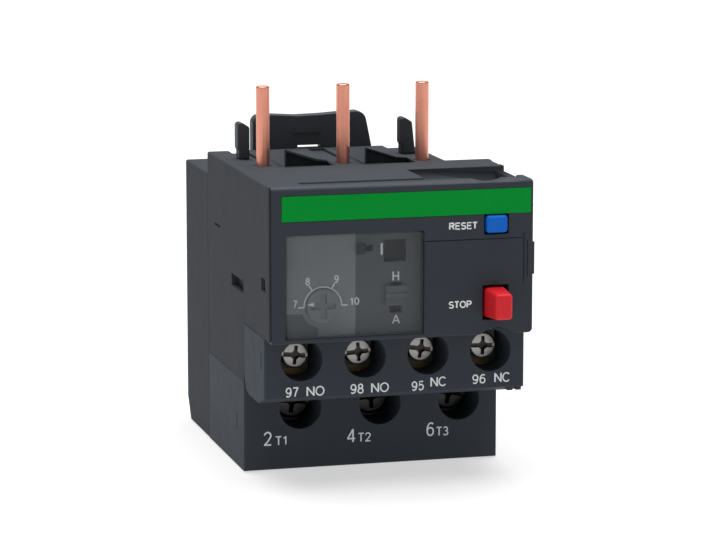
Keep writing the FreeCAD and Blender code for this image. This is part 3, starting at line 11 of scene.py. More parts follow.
import bpy
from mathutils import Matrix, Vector


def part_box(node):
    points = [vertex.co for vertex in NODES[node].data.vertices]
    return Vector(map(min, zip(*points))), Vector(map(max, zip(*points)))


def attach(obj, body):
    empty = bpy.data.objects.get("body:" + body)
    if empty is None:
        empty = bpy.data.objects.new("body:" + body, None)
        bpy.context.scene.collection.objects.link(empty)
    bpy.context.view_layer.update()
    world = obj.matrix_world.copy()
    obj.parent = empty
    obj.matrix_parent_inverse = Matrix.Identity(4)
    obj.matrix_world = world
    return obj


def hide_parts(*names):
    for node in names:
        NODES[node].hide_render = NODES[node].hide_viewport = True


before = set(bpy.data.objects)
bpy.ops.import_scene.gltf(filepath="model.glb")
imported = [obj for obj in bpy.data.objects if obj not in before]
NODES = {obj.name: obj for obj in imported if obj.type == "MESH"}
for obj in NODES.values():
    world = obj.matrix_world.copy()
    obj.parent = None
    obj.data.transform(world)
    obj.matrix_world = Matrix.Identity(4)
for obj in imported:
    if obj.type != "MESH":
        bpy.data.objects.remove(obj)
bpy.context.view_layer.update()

# %% [markdown]
# ## Measuring in millimetres
# The drawing of the relay counts millimetres from the middle of the case, back from the cover's front
# plane, and up from the foot. The loaded frame counts metres from the middle of the whole relay. One
# small function turns a drawing place into a frame place, so that every number below can be read off the
# drawing. The dial's centre is read from its CAD box, because both the printed field and the scale are
# laid out round it.

# %% Places on the drawing
MM = 0.001
SIDE_SHIFT = -0.25
DEPTH_SHIFT = -30.0


def place(x, y, z):
    """A point of the frame, in metres, from a point of the drawing, in millimetres."""
    return Vector(((x + SIDE_SHIFT) * MM, (y + DEPTH_SHIFT) * MM, z * MM))


def only(piece):
    """Selects this piece alone and makes it the active one."""
    bpy.ops.object.select_all(action="DESELECT")
    piece.select_set(True)
    bpy.context.view_layer.objects.active = piece


def settle(piece, body, finish, smooth_below=35):
    """Puts a finished piece's place into its mesh, gives it its finish and lets it ride on a body."""
    only(piece)
    bpy.ops.object.transform_apply(location=True, rotation=True, scale=True)
    bpy.ops.object.shade_smooth_by_angle(angle=math.radians(smooth_below))
    piece.data.materials.clear()
    piece.data.materials.append(finish)
    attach(piece, body)


DIAL_LOW, DIAL_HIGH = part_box("setting_dial")
DIAL_X = (DIAL_LOW.x + DIAL_HIGH.x) / 2 / MM - SIDE_SHIFT
DIAL_Z = (DIAL_LOW.z + DIAL_HIGH.z) / 2 / MM
DIAL_FACE = DIAL_LOW.y / MM - DEPTH_SHIFT
print("dial centre on the drawing:", round(DIAL_X, 2), round(DIAL_Z, 2))

# %% [markdown]
# ## Shader maths as plain sums
# A finish is a small network of nodes. Writing every wire by hand hides the idea, so one class wraps a
# socket and lets Python's own signs add the Math nodes. `0.3 + 0.2 * grain` then reads as it would on
# paper.

# %% A socket that can be added, multiplied and compared


class Signal:
    """A value that changes over the surface, with arithmetic."""

    def __init__(self, paint, socket):
        self.paint = paint
        self.socket = socket

    def maths(self, operation, first, second):
        return self.paint.node("ShaderNodeMath", {"operation": operation}, {0: first, 1: second})

    def __add__(self, other):
        return self.maths("ADD", self, other)

    def __radd__(self, other):
        return self.maths("ADD", other, self)

    def __sub__(self, other):
        return self.maths("SUBTRACT", self, other)

    def __mul__(self, other):
        return self.maths("MULTIPLY", self, other)

    def __rmul__(self, other):
        return self.maths("MULTIPLY", other, self)

    def __gt__(self, other):
        return self.maths("GREATER_THAN", self, other)

    def __lt__(self, other):
        return self.maths("LESS_THAN", self, other)

    def most(self, other):
        return self.maths("MAXIMUM", self, other)

    def within(self, low, high):
        return (self > low) * (self < high)

    def wrapped(self, period):
        """The distance from the nearest whole number of periods."""
        limits = {0: self, 1: period / 2, 2: -period / 2}
        return self.paint.node("ShaderNodeMath", {"operation": "WRAP"}, limits)

    def root(self):
        return self.paint.node("ShaderNodeMath", {"operation": "SQRT"}, {0: self})

    def wave(self):
        return self.paint.node("ShaderNodeMath", {"operation": "SINE"}, {0: self})


class Paint:
    """One material: its nodes, its places and its shader."""

    def __init__(self, name):
        self.material = bpy.data.materials.new(name)
        self.material.use_nodes = True
        self.tree = self.material.node_tree
        self.shader = self.tree.nodes["Principled BSDF"]

    def node(self, kind, settings, values, output=0):
        """Adds a node, makes its settings, then wires or sets its sockets."""
        made = self.tree.nodes.new(kind)
        for name, value in settings.items():
            setattr(made, name, value)
        for name, value in values.items():
            self.wire(made.inputs[name], value)
        return Signal(self, made.outputs[output])

    def wire(self, socket, value):
        if isinstance(value, Signal):
            self.tree.links.new(value.socket, socket)
        elif isinstance(value, tuple) and socket.type == "RGBA":
            socket.default_value = (*value, 1.0)
        else:
            socket.default_value = value

    def where(self):
        """The place on the surface, in metres of the frame."""
        return self.node("ShaderNodeTexCoord", {}, {}, "Object")

    def axes(self):
        """The place as three signals, in drawing millimetres."""
        split = self.node("ShaderNodeSeparateXYZ", {}, {0: self.where()}).socket.node
        x, y, z = (Signal(self, socket) for socket in split.outputs)
        return x * 1000.0 - SIDE_SHIFT, y * 1000.0 - DEPTH_SHIFT, z * 1000.0

    def stretched(self, across, back, up):
        """The place with each axis multiplied, so that a pattern runs longer one way."""
        return self.node("ShaderNodeMapping", {}, {"Vector": self.where(), "Scale": (across, back, up)})

    def noise(self, size_mm, detail=3.0, roughness=0.5, vector=None):
        """Cloudy noise with blotches of about this size."""
        values = {"Scale": 1000.0 / size_mm, "Detail": detail, "Roughness": roughness}
        values["Vector"] = vector if vector is not None else self.where()
        return self.node("ShaderNodeTexNoise", {}, values)

    def blend(self, share, first, second):
        """A colour between two, by a share from 0 to 1."""
        return self.node("ShaderNodeMix", {"data_type": "RGBA"}, {0: share, 6: first, 7: second}, 2)

    def bump(self, height, depth_mm, strength=1.0):
        values = {"Height": height, "Distance": depth_mm * MM, "Strength": strength}
        return self.node("ShaderNodeBump", {}, values)

    def finish(self, **sockets):
        for name, value in sockets.items():
            self.wire(self.shader.inputs[name.replace("_", " ")], value)
        return self.material


print("paints are made by", Paint.__name__, "from", Signal.__name__, "sums")

# %% [markdown]
# ## Moulded plastic
# The case, cover and terminal blocks are glass-filled nylon in nearly black greys. The real surface is
# spark-eroded: a very fine grain, a slight cloudiness where the melt flowed, and a soft sheen. Three
# scales of noise make it: flow clouds tint the colour, patches vary the sheen, and the fine grain is a
# bump.

# %% Paints for the mouldings


def shade_of(colour, share):
    return tuple(part * share for part in colour)


FLOW_MM = 9.0
PATCH_MM = 3.0
CLOUD = 0.07
SHEEN_SWING = 0.12
GRAIN_SHARE = 0.25


def moulding(name, colour, sheen, grain_mm, grain_depth_mm, mirror=0.25):
    """Spark-eroded plastic: flow clouds, patches of sheen and a fine grain."""
    paint = Paint(name)
    flow = paint.noise(FLOW_MM, 2.0)
    grain = paint.noise(grain_mm, 2.0, 0.6)
    patches = paint.noise(PATCH_MM, 3.0)
    clouds = paint.blend(flow, shade_of(colour, 1 - CLOUD), shade_of(colour, 1 + CLOUD))
    tint = paint.blend(grain * GRAIN_SHARE, clouds, shade_of(colour, 1 + GRAIN_SHARE))
    return paint.finish(
        Base_Color=tint,
        Roughness=sheen - SHEEN_SWING / 2 + SHEEN_SWING * patches,
        Normal=paint.bump(grain, grain_depth_mm),
        Specular_IOR_Level=mirror,
    )


SIDE_GREY = (0.042, 0.046, 0.052)
FRONT_GREY = (0.027, 0.033, 0.042)
BLOCK_GREY = (0.040, 0.047, 0.057)
HOOK_GREY = (0.030, 0.034, 0.040)
side_plastic = moulding("side_plastic", SIDE_GREY, 0.60, 0.28, 0.004, 0.02)
front_plastic = moulding("front_plastic", FRONT_GREY, 0.48, 0.35, 0.003, 0.14)
terminal_plastic = moulding("terminal_plastic", BLOCK_GREY, 0.50, 0.35, 0.003, 0.02)
hook_plastic = moulding("hook_plastic", HOOK_GREY, 0.50, 0.35, 0.003)
mechanism_plastic = moulding("mechanism_plastic", (0.60, 0.58, 0.53), 0.45, 0.30, 0.004)
dial_grey = moulding("dial_grey", (0.150, 0.160, 0.170), 0.55, 0.40, 0.001)
flag_dark = moulding("flag_dark", (0.024, 0.021, 0.020), 0.60, 0.60, 0.001)
knob_grey = moulding("knob_grey", (0.082, 0.090, 0.098), 0.55, 0.40, 0.001)
tab_dark = moulding("tab_dark", (0.006, 0.007, 0.008), 0.60, 0.60, 0.001)
print("moulded finishes:", side_plastic.name, front_plastic.name, terminal_plastic.name)

# %% [markdown]
# ## Strip, buttons and printing
# The green strip is a smooth coloured inlay. The two buttons are self-coloured plastic with a satin
# gloss, a little duller where fingers and tools rub the edges. The lettering is a thin screen-printed ink
# with a slightly ragged cover.

# %% Paints for the coloured parts


def satin(name, colour, sheen, wear, mirror):
    paint = Paint(name)
    flow = paint.noise(2.4, 3.0)
    scuffs = paint.noise(0.5, 4.0, 0.7, paint.stretched(1.0, 1.0, 0.25))
    tint = paint.blend(flow, shade_of(colour, 0.92), shade_of(colour, 1.05))
    return paint.finish(
        Base_Color=tint,
        Roughness=sheen + wear * scuffs,
        Normal=paint.bump(scuffs, 0.001),
        Specular_IOR_Level=mirror,
    )


def ink(name, colour):
    paint = Paint(name)
    cover = paint.noise(0.25, 3.0, 0.6)
    tint = paint.blend(cover, shade_of(colour, 0.88), colour)
    return paint.finish(Base_Color=tint, Roughness=0.50 + 0.12 * cover, Specular_IOR_Level=0.25)


green_strip = satin("green_strip", (0.0, 0.235, 0.026), 0.55, 0.10, 0.06)
reset_blue = satin("reset_blue", (0.003, 0.112, 0.50), 0.40, 0.14, 0.12)
stop_red = satin("stop_red", (0.60, 0.014, 0.022), 0.40, 0.14, 0.20)
print_white = ink("print_white", (0.72, 0.74, 0.75))
print("coloured finishes:", green_strip.name, reset_blue.name, stop_red.name, print_white.name)

# %% [markdown]
# ## Metals
# The line pins are drawn copper: fine streaks run along the rod and air has browned it in soft patches.
# The screws have nickel plating and are turned, so rings run round each head, and the drive is darkened a
# little below its face as painted shade. Both need each screw's own centre, which a wrapped distance
# gives: the screws of a row stand one pitch apart. The power screws deep in their holes and the clamp
# washers are given near-black metal, which is painted shade.

# %% Paints for the metals
AUX_MIDDLE = 0.2
AUX_PITCH = 10.9
AUX_SCREW_Z = 22.0
POWER_MIDDLE = 1.5
POWER_PITCH = 14.1
POWER_SCREW_Z = 10.6
AUX_HEAD_FRONT, AUX_RADIUS, AUX_DOME = 8.2, 2.3, 0.40
POWER_HEAD_FRONT, POWER_RADIUS, POWER_DOME = 25.0, 3.2, 0.60


def drawn_metal(name, colour, tarnish, sheen, streak):
    paint = Paint(name)
    streaks = paint.noise(0.35, 3.0, 0.6, paint.stretched(*streak))
    patches = paint.noise(4.0, 4.0, 0.6)
    tint = paint.blend(patches * 0.8, colour, tarnish)
    return paint.finish(
        Base_Color=paint.blend(streaks * 0.35, tint, tarnish),
        Metallic=1.0,
        Roughness=sheen + 0.14 * streaks,
        Normal=paint.bump(streaks, 0.003),
    )


RINGS = 60.0
# Painted shade in the drives: where it starts behind the head's face, in mm, and the share of the plating's
# colour it leaves.
RECESS_START = 0.15
DRIVE_PAINTED_SHADE = 0.10


def turned_metal(name, colour, row, front, reach):
    """Plating with turning rings round each of a row of screw heads, and painted shade down in the drives."""
    one_screw, pitch, height = row
    paint = Paint(name)
    x, y, z = paint.axes()
    across = (x - one_screw).wrapped(pitch)
    up = z - height
    radius = (across * across + up * up).root()
    rings = (radius * RINGS).wave()
    grime = paint.noise(0.9, 4.0, 0.65)
    # Painted shade: behind the drive's face and inside the head's flat, the plating is darkened to stand in
    # for the shade down in the recess.
    deep = y > front + RECESS_START
    near = radius < reach
    plating = paint.blend(grime, shade_of(colour, 0.72), colour)
    return paint.finish(
        Base_Color=paint.blend(deep * near, plating, shade_of(colour, DRIVE_PAINTED_SHADE)),
        Metallic=1.0,
        Roughness=0.30 + 0.16 * grime,
        Normal=paint.bump(rings, 0.004, 0.6),
    )


ALONG_ROD = (1.0, 1.0, 0.05)
ALONG_SHEET = (1.0, 1.0, 0.20)
copper = drawn_metal("copper", (0.84, 0.37, 0.27), (0.68, 0.27, 0.19), 0.28, ALONG_ROD)
spring_steel = drawn_metal("spring_steel", (0.50, 0.50, 0.50), (0.36, 0.36, 0.37), 0.26, ALONG_SHEET)
bimetal = drawn_metal("bimetal", (0.46, 0.42, 0.36), (0.36, 0.31, 0.26), 0.34, ALONG_SHEET)
contact_brass = drawn_metal("contact_brass", (0.40, 0.30, 0.15), (0.30, 0.22, 0.11), 0.36, ALONG_SHEET)
# Painted shade: near-black metal for the clamp washers and the pivot pin, standing in for the shade they sit
# in.
dark_metal_painted_shade = drawn_metal("metal_near_black_shaded", (0.10, 0.10, 0.095), (0.06, 0.06, 0.058), 0.42, ALONG_SHEET)
AUX_ROW = (AUX_MIDDLE + AUX_PITCH / 2, AUX_PITCH, AUX_SCREW_Z)
POWER_ROW = (POWER_MIDDLE, POWER_PITCH, POWER_SCREW_Z)
AUX_FLAT = AUX_RADIUS - AUX_DOME
POWER_FLAT = POWER_RADIUS - POWER_DOME
aux_nickel = turned_metal("nickel_aux", (0.42, 0.41, 0.39), AUX_ROW, AUX_HEAD_FRONT, AUX_FLAT)
# Painted shade: the power screws sit deep in their holes, so their plating gets a near-black colour that
# stands in for the shade there.
power_screw_painted_shade = turned_metal("power_screw_dark_paint", (0.06, 0.06, 0.058), POWER_ROW, POWER_HEAD_FRONT, POWER_FLAT)
print("metal finishes:", copper.name, aux_nickel.name, power_screw_painted_shade.name)

# %% [markdown]
# ## Heater sleeve, setting plate and window
# The heaters are wound on a woven glass sleeve, so its weave is two crossed waves. The setting plate
# behind the window is a dark sheet with a paler printed field whose lower left corner is cut away in a
# curve. That field has sharp edges, so the mask is made of comparisons on the place. The window is smoky
# clear plastic.

# %% Paints for the sleeve, the plate and the window
FIELD_LEFT, FIELD_RIGHT = -19.05, -7.35
FIELD_LOW, FIELD_STEP = 25.6, 30.0
STEP_RIGHT = -16.05
FOOT_LEFT, FOOT_TOP = -13.7, 27.3
BITE_RADIUS = 3.7
THREADS = 14.0


def woven_sleeve(name, colour):
    paint = Paint(name)
    x, y, z = paint.axes()
    warp = ((x + y + z) * THREADS).wave()
    weft = ((x + y - z) * THREADS).wave()
    weave = warp.most(weft) * 0.5 + 0.5
    heat = paint.noise(3.0, 3.0)
    thread = paint.blend(heat, colour, shade_of(colour, 0.72))
    return paint.finish(
        Base_Color=paint.blend(weave * 0.4, shade_of(colour, 0.55), thread),
        Roughness=0.70 + 0.15 * weave,
        Normal=paint.bump(weave, 0.05),
    )


def setting_sheet(name, field, ground):
    paint = Paint(name)
    x, _, z = paint.axes()
    whole = x.within(FIELD_LEFT, FIELD_RIGHT) * (z > FIELD_LOW)
    far_x = x - DIAL_X
    far_z = z - DIAL_Z
    near_dial = (far_x * far_x + far_z * far_z) < BITE_RADIUS**2
    foot = x > FOOT_LEFT
    kept = (z > FIELD_STEP).most(near_dial).most(foot)
    grain = paint.noise(0.30, 2.0)
    cloud = paint.noise(5.0, 2.0)
    dark = paint.blend(cloud, shade_of(ground, 0.92), shade_of(ground, 1.08))
    pale = paint.blend(cloud, shade_of(field, 0.96), shade_of(field, 1.04))
    return paint.finish(
        Base_Color=paint.blend(whole * kept, dark, pale),
        Roughness=0.52 + 0.06 * grain,
        Specular_IOR_Level=0.25,
    )


def clear_sheet(name, colour, cover):
    paint = Paint(name)
    haze = paint.noise(6.0, 3.0)
    rubs = paint.noise(0.8, 4.0, 0.7, paint.stretched(0.3, 1.0, 1.0))
    return paint.finish(
        Base_Color=paint.blend(haze, shade_of(colour, 0.94), colour),
        Alpha=cover,
        Roughness=0.22 + 0.06 * rubs,
        Specular_IOR_Level=0.35,
    )


heater_sleeve = woven_sleeve("heater_sleeve", (0.72, 0.67, 0.55))
plate_grey = setting_sheet("plate_grey", (0.190, 0.202, 0.216), (0.074, 0.081, 0.090))
window_clear = clear_sheet("window_clear", (0.10, 0.11, 0.115), 0.16)
print("window finishes:", plate_grey.name, window_clear.name)

# %% [markdown]
# ## Softened mouldings
# No moulded edge is perfectly sharp: each one catches a thin line of light. The CAD solids come as loose
# triangles with sharp corners, so each moulding is copied, its doubled points are merged, its flat faces
# are joined, and a small bevel is applied along the sharp outer edges. Where several fine features meet,
# a bevel can push a corner off the surface or turn a face over. Such corners are found by comparing with
# the CAD skin, and stay sharp on the next try. Weighted normals then keep the big faces evenly lit beside
# the narrow bevels.

# %% A clean copy of a CAD node
import bmesh
from mathutils.bvhtree import BVHTree

MERGE_DISTANCE = 1e-6
FLAT_WITHIN = math.radians(0.4)


def cleaned_copy(node, name):
    piece = bpy.data.objects.new(name, NODES[node].data.copy())
    bpy.context.scene.collection.objects.link(piece)
    only(piece)
    bpy.ops.object.mode_set(mode="EDIT")
    bpy.ops.mesh.select_all(action="SELECT")
    bpy.ops.mesh.remove_doubles(threshold=MERGE_DISTANCE)
    bpy.ops.mesh.dissolve_limited(angle_limit=FLAT_WITHIN)
    bpy.ops.object.mode_set(mode="OBJECT")
    return piece


# %% Which edges are rounded
SHARPER_THAN = math.radians(32)
WEIGHT = "bevel_weight_edge"


def mark_edges(piece, spared, reach):
    """Marks the sharp outer edges, except near the spared corners."""
    shape = bmesh.new()
    shape.from_mesh(piece.data)
    weights = shape.edges.layers.float.get(WEIGHT) or shape.edges.layers.float.new(WEIGHT)
    for edge in shape.edges:
        sharp = len(edge.link_faces) == 2 and edge.calc_face_angle_signed(0.0) > SHARPER_THAN
        ends = [corner.co for corner in edge.verts]
        near = any((corner - end).length < reach for corner in spared for end in ends)
        edge[weights] = 1.0 if sharp and not near else 0.0
    shape.to_mesh(piece.data)
    shape.free()


# %% Where a bevel went wrong
LEAST_FACE = 4e-9
OFF_SKIN = 1.2
TURNED_OVER = -0.2


def faulty_corners(piece, skin, width):
    mesh = piece.data
    corners = [point.co.copy() for point in mesh.vertices]
    furthest = OFF_SKIN * width + MERGE_DISTANCE
    faulty = [corner for corner in corners if skin.find_nearest(corner)[3] > furthest]
    mesh.calc_loop_triangles()
    for triangle in mesh.loop_triangles:
        a, b, c = (corners[index] for index in triangle.vertices)
        across = (b - a).cross(c - a)
        facing = skin.find_nearest((a + b + c) / 3)[1]
        if across.length / 2 > LEAST_FACE and across.normalized().dot(facing) < TURNED_OVER:
            faulty += [a, b, c]
    return faulty


# %% The softened copy itself
TRIES = 8


def softened(node, body, finish, width_mm, steps=2):
    source = NODES[node].data
    corners = [point.co for point in source.vertices]
    skin = BVHTree.FromPolygons(corners, [face.vertices for face in source.polygons])
    width = width_mm * MM
    spared = []
    for attempt in range(TRIES):
        piece = cleaned_copy(node, node + "_moulded")
        mark_edges(piece, spared, 2 * width)
        bevel = piece.modifiers.new("edge_round", "BEVEL")
        bevel.width = width
        bevel.segments = steps
        bevel.limit_method = "WEIGHT"
        bevel.use_clamp_overlap = False
        only(piece)
        bpy.ops.object.modifier_apply(modifier="edge_round")
        faulty = faulty_corners(piece, skin, width)
        if not faulty:
            break
        spared += faulty
        bpy.data.objects.remove(piece)
    settle(piece, body, finish)
    even = piece.modifiers.new("even_shading", "WEIGHTED_NORMAL")
    even.keep_sharp = True
    only(piece)
    bpy.ops.object.modifier_apply(modifier="even_shading")
    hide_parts(node)
    print(piece.name, "faces:", len(piece.data.polygons), "tries:", attempt + 1)


# %% The case, its blocks and its cover
softened("case_body", "case", side_plastic, 0.15)
softened("rear_base", "case", side_plastic, 0.15)
softened("power_terminal_block", "case", terminal_plastic, 0.15)
softened("aux_terminal_block", "case", terminal_plastic, 0.12)
softened("front_cover", "case", front_plastic, 0.10)

# %% The hooks behind the deck
softened("latch_plate", "case", hook_plastic, 0.25, 3)
softened("left_hook", "case", hook_plastic, 0.25, 3)
softened("right_hook", "case", hook_plastic, 0.25, 3)

# %% [markdown]
# ## Buttons, knobs and the window
# The buttons, the dial and the selector are small mouldings of their own. They move, so each softened
# copy rides on its own body, and the window swings with its hinge.

# %% Moving parts on the front
softened("reset_button", "reset", reset_blue, 0.20, 3)
softened("stop_button", "stop", stop_red, 0.30, 3)
softened("setting_dial", "dial", dial_grey, 0.08)
softened("mode_selector", "selector", knob_grey, 0.10)
softened("test_slider", "test", tab_dark, 0.06)
softened("trip_flag", "flag", flag_dark, 0.06)
softened("window_flap", "flap", window_clear, 0.08)

# %% [markdown]
# ## Copper pins
# The pins are cut from drawn rod and chamfered, then tumbled, so the rim of each tip is slightly round.

# %% Three line pins
for number in (1, 2, 3):
    softened(f"line_pin_{number}", "case", copper, 0.12, 3)

# %% [markdown]
# ## Terminal screws
# Each screw has a low domed head with a slot across it and a cross recess, and a threaded shank in the
# clamp washer. The head starts as a cylinder whose front rim is bevelled into a dome. Cutters take out
# the slot and the cross with the Boolean modifier, which is how the recess is really pressed: one punch,
# one shape. The thread is a row of rings, grown by extruding a disc again and again. One screw is made at
# the origin and copied into each hole.

# %% The domed head
RIM_SEGMENTS = 6
CROWN = 0.05
CROWN_SHARE = 0.6
HEAD_SIDES = 64
SHANK_SIDES = 32


def pick(piece, wanted):
    """Enters edit mode with only the wanted faces selected."""
    only(piece)
    bpy.ops.object.mode_set(mode="EDIT")
    bpy.ops.mesh.select_mode(type="FACE")
    bpy.ops.mesh.select_all(action="DESELECT")
    bpy.ops.object.mode_set(mode="OBJECT")
    for face in piece.data.polygons:
        face.select = wanted(face)
    bpy.ops.object.mode_set(mode="EDIT")


def head_blank(name, radius, height, dome):
    bpy.ops.object.select_all(action="DESELECT")
    bpy.ops.mesh.primitive_cylinder_add(
        vertices=HEAD_SIDES,
        radius=radius * MM,
        depth=height * MM,
        rotation=(math.radians(90), 0, 0),
        location=(0, height / 2 * MM, 0),
    )
    blank = bpy.context.active_object
    blank.name = name
    bpy.ops.object.transform_apply(location=True, rotation=True, scale=True)
    pick(blank, lambda face: face.normal.y < -0.9)
    bpy.ops.mesh.bevel(offset=dome * MM, segments=RIM_SEGMENTS, affect="EDGES")
    bpy.ops.object.mode_set(mode="OBJECT")
    pick(blank, lambda face: face.normal.y < -0.999)
    bpy.ops.mesh.inset(thickness=(radius - dome) * CROWN_SHARE * MM, depth=CROWN * MM)
    bpy.ops.object.mode_set(mode="OBJECT")
    return blank


# %% The recess
def punch(blank, size, turn=0.0):
    """Cuts a bar of this width, depth and height into the head."""
    bpy.ops.object.select_all(action="DESELECT")
    bpy.ops.mesh.primitive_cube_add(size=MM, location=(0, 0, 0), rotation=(0, math.radians(turn), 0))
    cutter = bpy.context.active_object
    cutter.scale = size
    cut = blank.modifiers.new("recess", "BOOLEAN")
    cut.operation = "DIFFERENCE"
    cut.solver = "EXACT"
    cut.object = cutter
    bpy.context.view_layer.update()
    only(blank)
    bpy.ops.object.modifier_apply(modifier="recess")
    bpy.data.objects.remove(cutter)


# %% The threaded shank
RING_PITCH = 0.5
ROOT_SHARE = 0.84


def add_shank(blank, start, radius, length):
    """Grows a ringed shank behind the head and joins it on."""
    bpy.ops.object.select_all(action="DESELECT")
    bpy.ops.mesh.primitive_circle_add(
        vertices=SHANK_SIDES,
        radius=radius * MM,
        fill_type="NGON",
        rotation=(math.radians(90), 0, 0),
        location=(0, start * MM, 0),
        enter_editmode=True,
    )
    reached = start
    step = RING_PITCH / 2
    while reached < start + length - RING_PITCH:
        for ratio in (ROOT_SHARE, 1 / ROOT_SHARE):
            reached += step
            bpy.ops.mesh.extrude_region_move(TRANSFORM_OT_translate={"value": (0, step * MM, 0)})
            bpy.ops.transform.resize(value=(ratio, 1, ratio), center_override=(0, reached * MM, 0))
    bpy.ops.mesh.select_all(action="SELECT")
    bpy.ops.mesh.normals_make_consistent(inside=False)
    bpy.ops.object.mode_set(mode="OBJECT")
    shank = bpy.context.active_object
    only(shank)
    bpy.ops.object.transform_apply(location=True, rotation=True, scale=True)
    blank.select_set(True)
    bpy.context.view_layer.objects.active = blank
    bpy.ops.object.join()


# %% A whole screw
PAST_THE_RIM = 1.0
CROSS_WIDTH = 0.8
CROSS_DEPTH = 1.3
SOCKET_WIDTH = 1.9
SOCKET_DEPTH = 1.4
EDGE_ROUND = 0.04
EDGES_OVER = math.radians(50)


def finished_screw(name, radius, height, dome, slot_width, slot_depth, cross, shank_radius, shank_length):
    """Makes a head, punches its slot, its cross and its square socket, and adds the shank."""
    blank = head_blank(name, radius, height, dome)
    socket = SOCKET_WIDTH * slot_width
    punch(blank, (2 * (radius + PAST_THE_RIM), 2 * slot_depth, slot_width))
    punch(blank, (CROSS_WIDTH * slot_width, 2 * CROSS_DEPTH * slot_depth, 2 * cross))
    punch(blank, (socket, 2 * SOCKET_DEPTH * slot_depth, socket), 45)
    edges = blank.modifiers.new("edge_round", "BEVEL")
    edges.width = EDGE_ROUND * MM
    edges.limit_method = "ANGLE"
    edges.angle_limit = EDGES_OVER
    only(blank)
    bpy.ops.object.modifier_apply(modifier="edge_round")
    add_shank(blank, height, shank_radius, shank_length)
    return blank


# %% Screws in their holes
SCREW_TURNS = (6, -4, 9, 2)
SCREW_SMOOTH = 30
AUX_HEAD = {"radius": AUX_RADIUS, "height": 1.8, "dome": AUX_DOME}
AUX_DRIVE = {"slot_width": 0.78, "slot_depth": 0.65, "cross": 1.6}
AUX_SHANK = {"shank_radius": 1.5, "shank_length": 5.5}
POWER_HEAD = {"radius": POWER_RADIUS, "height": 2.4, "dome": POWER_DOME}
POWER_DRIVE = {"slot_width": 0.90, "slot_depth": 0.80, "cross": 2.1}
POWER_SHANK = {"shank_radius": 2.0, "shank_length": 8.4}


def places_in_row(middle, pitch, count):
    return [middle + (number - (count - 1) / 2) * pitch for number in range(count)]


def fill_holes(first, places, head_front, height, finish, node):
    """Copies the first screw into every hole, each turned a little, and lets it stand for the CAD screws."""
    print("faces on", first.name, len(first.data.polygons))
    for number, (across, turn) in enumerate(zip(places, SCREW_TURNS), 1):
        only(first)
        bpy.ops.object.duplicate(linked=False)
        screw = bpy.context.active_object
        screw.name = f"{node}_{number}"
        screw.rotation_euler = (0, math.radians(turn), 0)
        screw.location = place(across, head_front, height)
        settle(screw, "case", finish, SCREW_SMOOTH)
        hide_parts(node)
    bpy.data.objects.remove(first)


aux_places = places_in_row(AUX_MIDDLE, AUX_PITCH, 4)
aux_first = finished_screw("aux_screw", **AUX_HEAD, **AUX_DRIVE, **AUX_SHANK)
fill_holes(aux_first, aux_places, AUX_HEAD_FRONT, AUX_SCREW_Z, aux_nickel, "aux_terminal_screws")
power_places = places_in_row(POWER_MIDDLE, POWER_PITCH, 3)
power_first = finished_screw("power_screw", **POWER_HEAD, **POWER_DRIVE, **POWER_SHANK)
# The power screws take the near-black plating, which is painted shade.
fill_holes(power_first, power_places, POWER_HEAD_FRONT, POWER_SCREW_Z, power_screw_painted_shade, "power_terminal_screws")

# %% [markdown]
# ## Finishes for the parts that stay as they are
# The inner parts have the right shape already, so they keep their CAD mesh and only get a finish.

# %% Inner parts and inlays
KEPT = {
    "label_strip": green_strip,
    "setting_plate": plate_grey,
    "dial_cam": mechanism_plastic,
    "mechanism_plate": mechanism_plastic,
    "slide_bar": mechanism_plastic,
    "trip_lever": mechanism_plastic,
    "contact_carrier": mechanism_plastic,
    "reset_spring": spring_steel,
    "stop_spring": spring_steel,
    "trip_spring": spring_steel,
    "bimetal_strip_1": bimetal,
    "bimetal_strip_2": bimetal,
    "bimetal_strip_3": bimetal,
    "compensating_strip": bimetal,
    "heater_winding_1": heater_sleeve,
    "heater_winding_2": heater_sleeve,
    "heater_winding_3": heater_sleeve,
    "load_busbar_1": copper,
    "load_busbar_2": copper,
    "load_busbar_3": copper,
    # Painted shade: the washers and the pivot pin get the near-black metal.
    "aux_clamp_washers": dark_metal_painted_shade,
    "power_clamp_washers": dark_metal_painted_shade,
    "no_lead_97": contact_brass,
    "no_lead_98": contact_brass,
    "nc_lead_95": contact_brass,
    "nc_lead_96": contact_brass,
    "lever_pivot_pin": dark_metal_painted_shade,
    "no_contact_blade": contact_brass,
    "nc_contact_blade": contact_brass,
}


def dress(node, finish):
    mesh = NODES[node].data
    mesh.materials.clear()
    mesh.materials.append(finish)


for node, finish in KEPT.items():
    dress(node, finish)
print("CAD nodes kept and finished:", len(KEPT))

# %% [markdown]
# ## Lettering
# The words and numbers are screen printed in a plain sans-serif face whose strokes are all equally thick.
# Blender's own font has another character, so each letter is drawn here as a draughtsman would: a few pen
# strokes in a box one unit high. A curve with a round bevel is the pen. It is made a mesh, flattened to
# the thickness of the ink and fitted to the box that the word fills on the drawing.

# %% Pen strokes
ARC_STEPS = 14


def bow(x, z, half_width, half_height, start, end):
    """Points along part of an ellipse, from one angle to another in degrees."""
    angles = [math.radians(start + (end - start) * step / ARC_STEPS) for step in range(ARC_STEPS + 1)]
    return [(x + half_width * math.cos(angle), z + half_height * math.sin(angle)) for angle in angles]


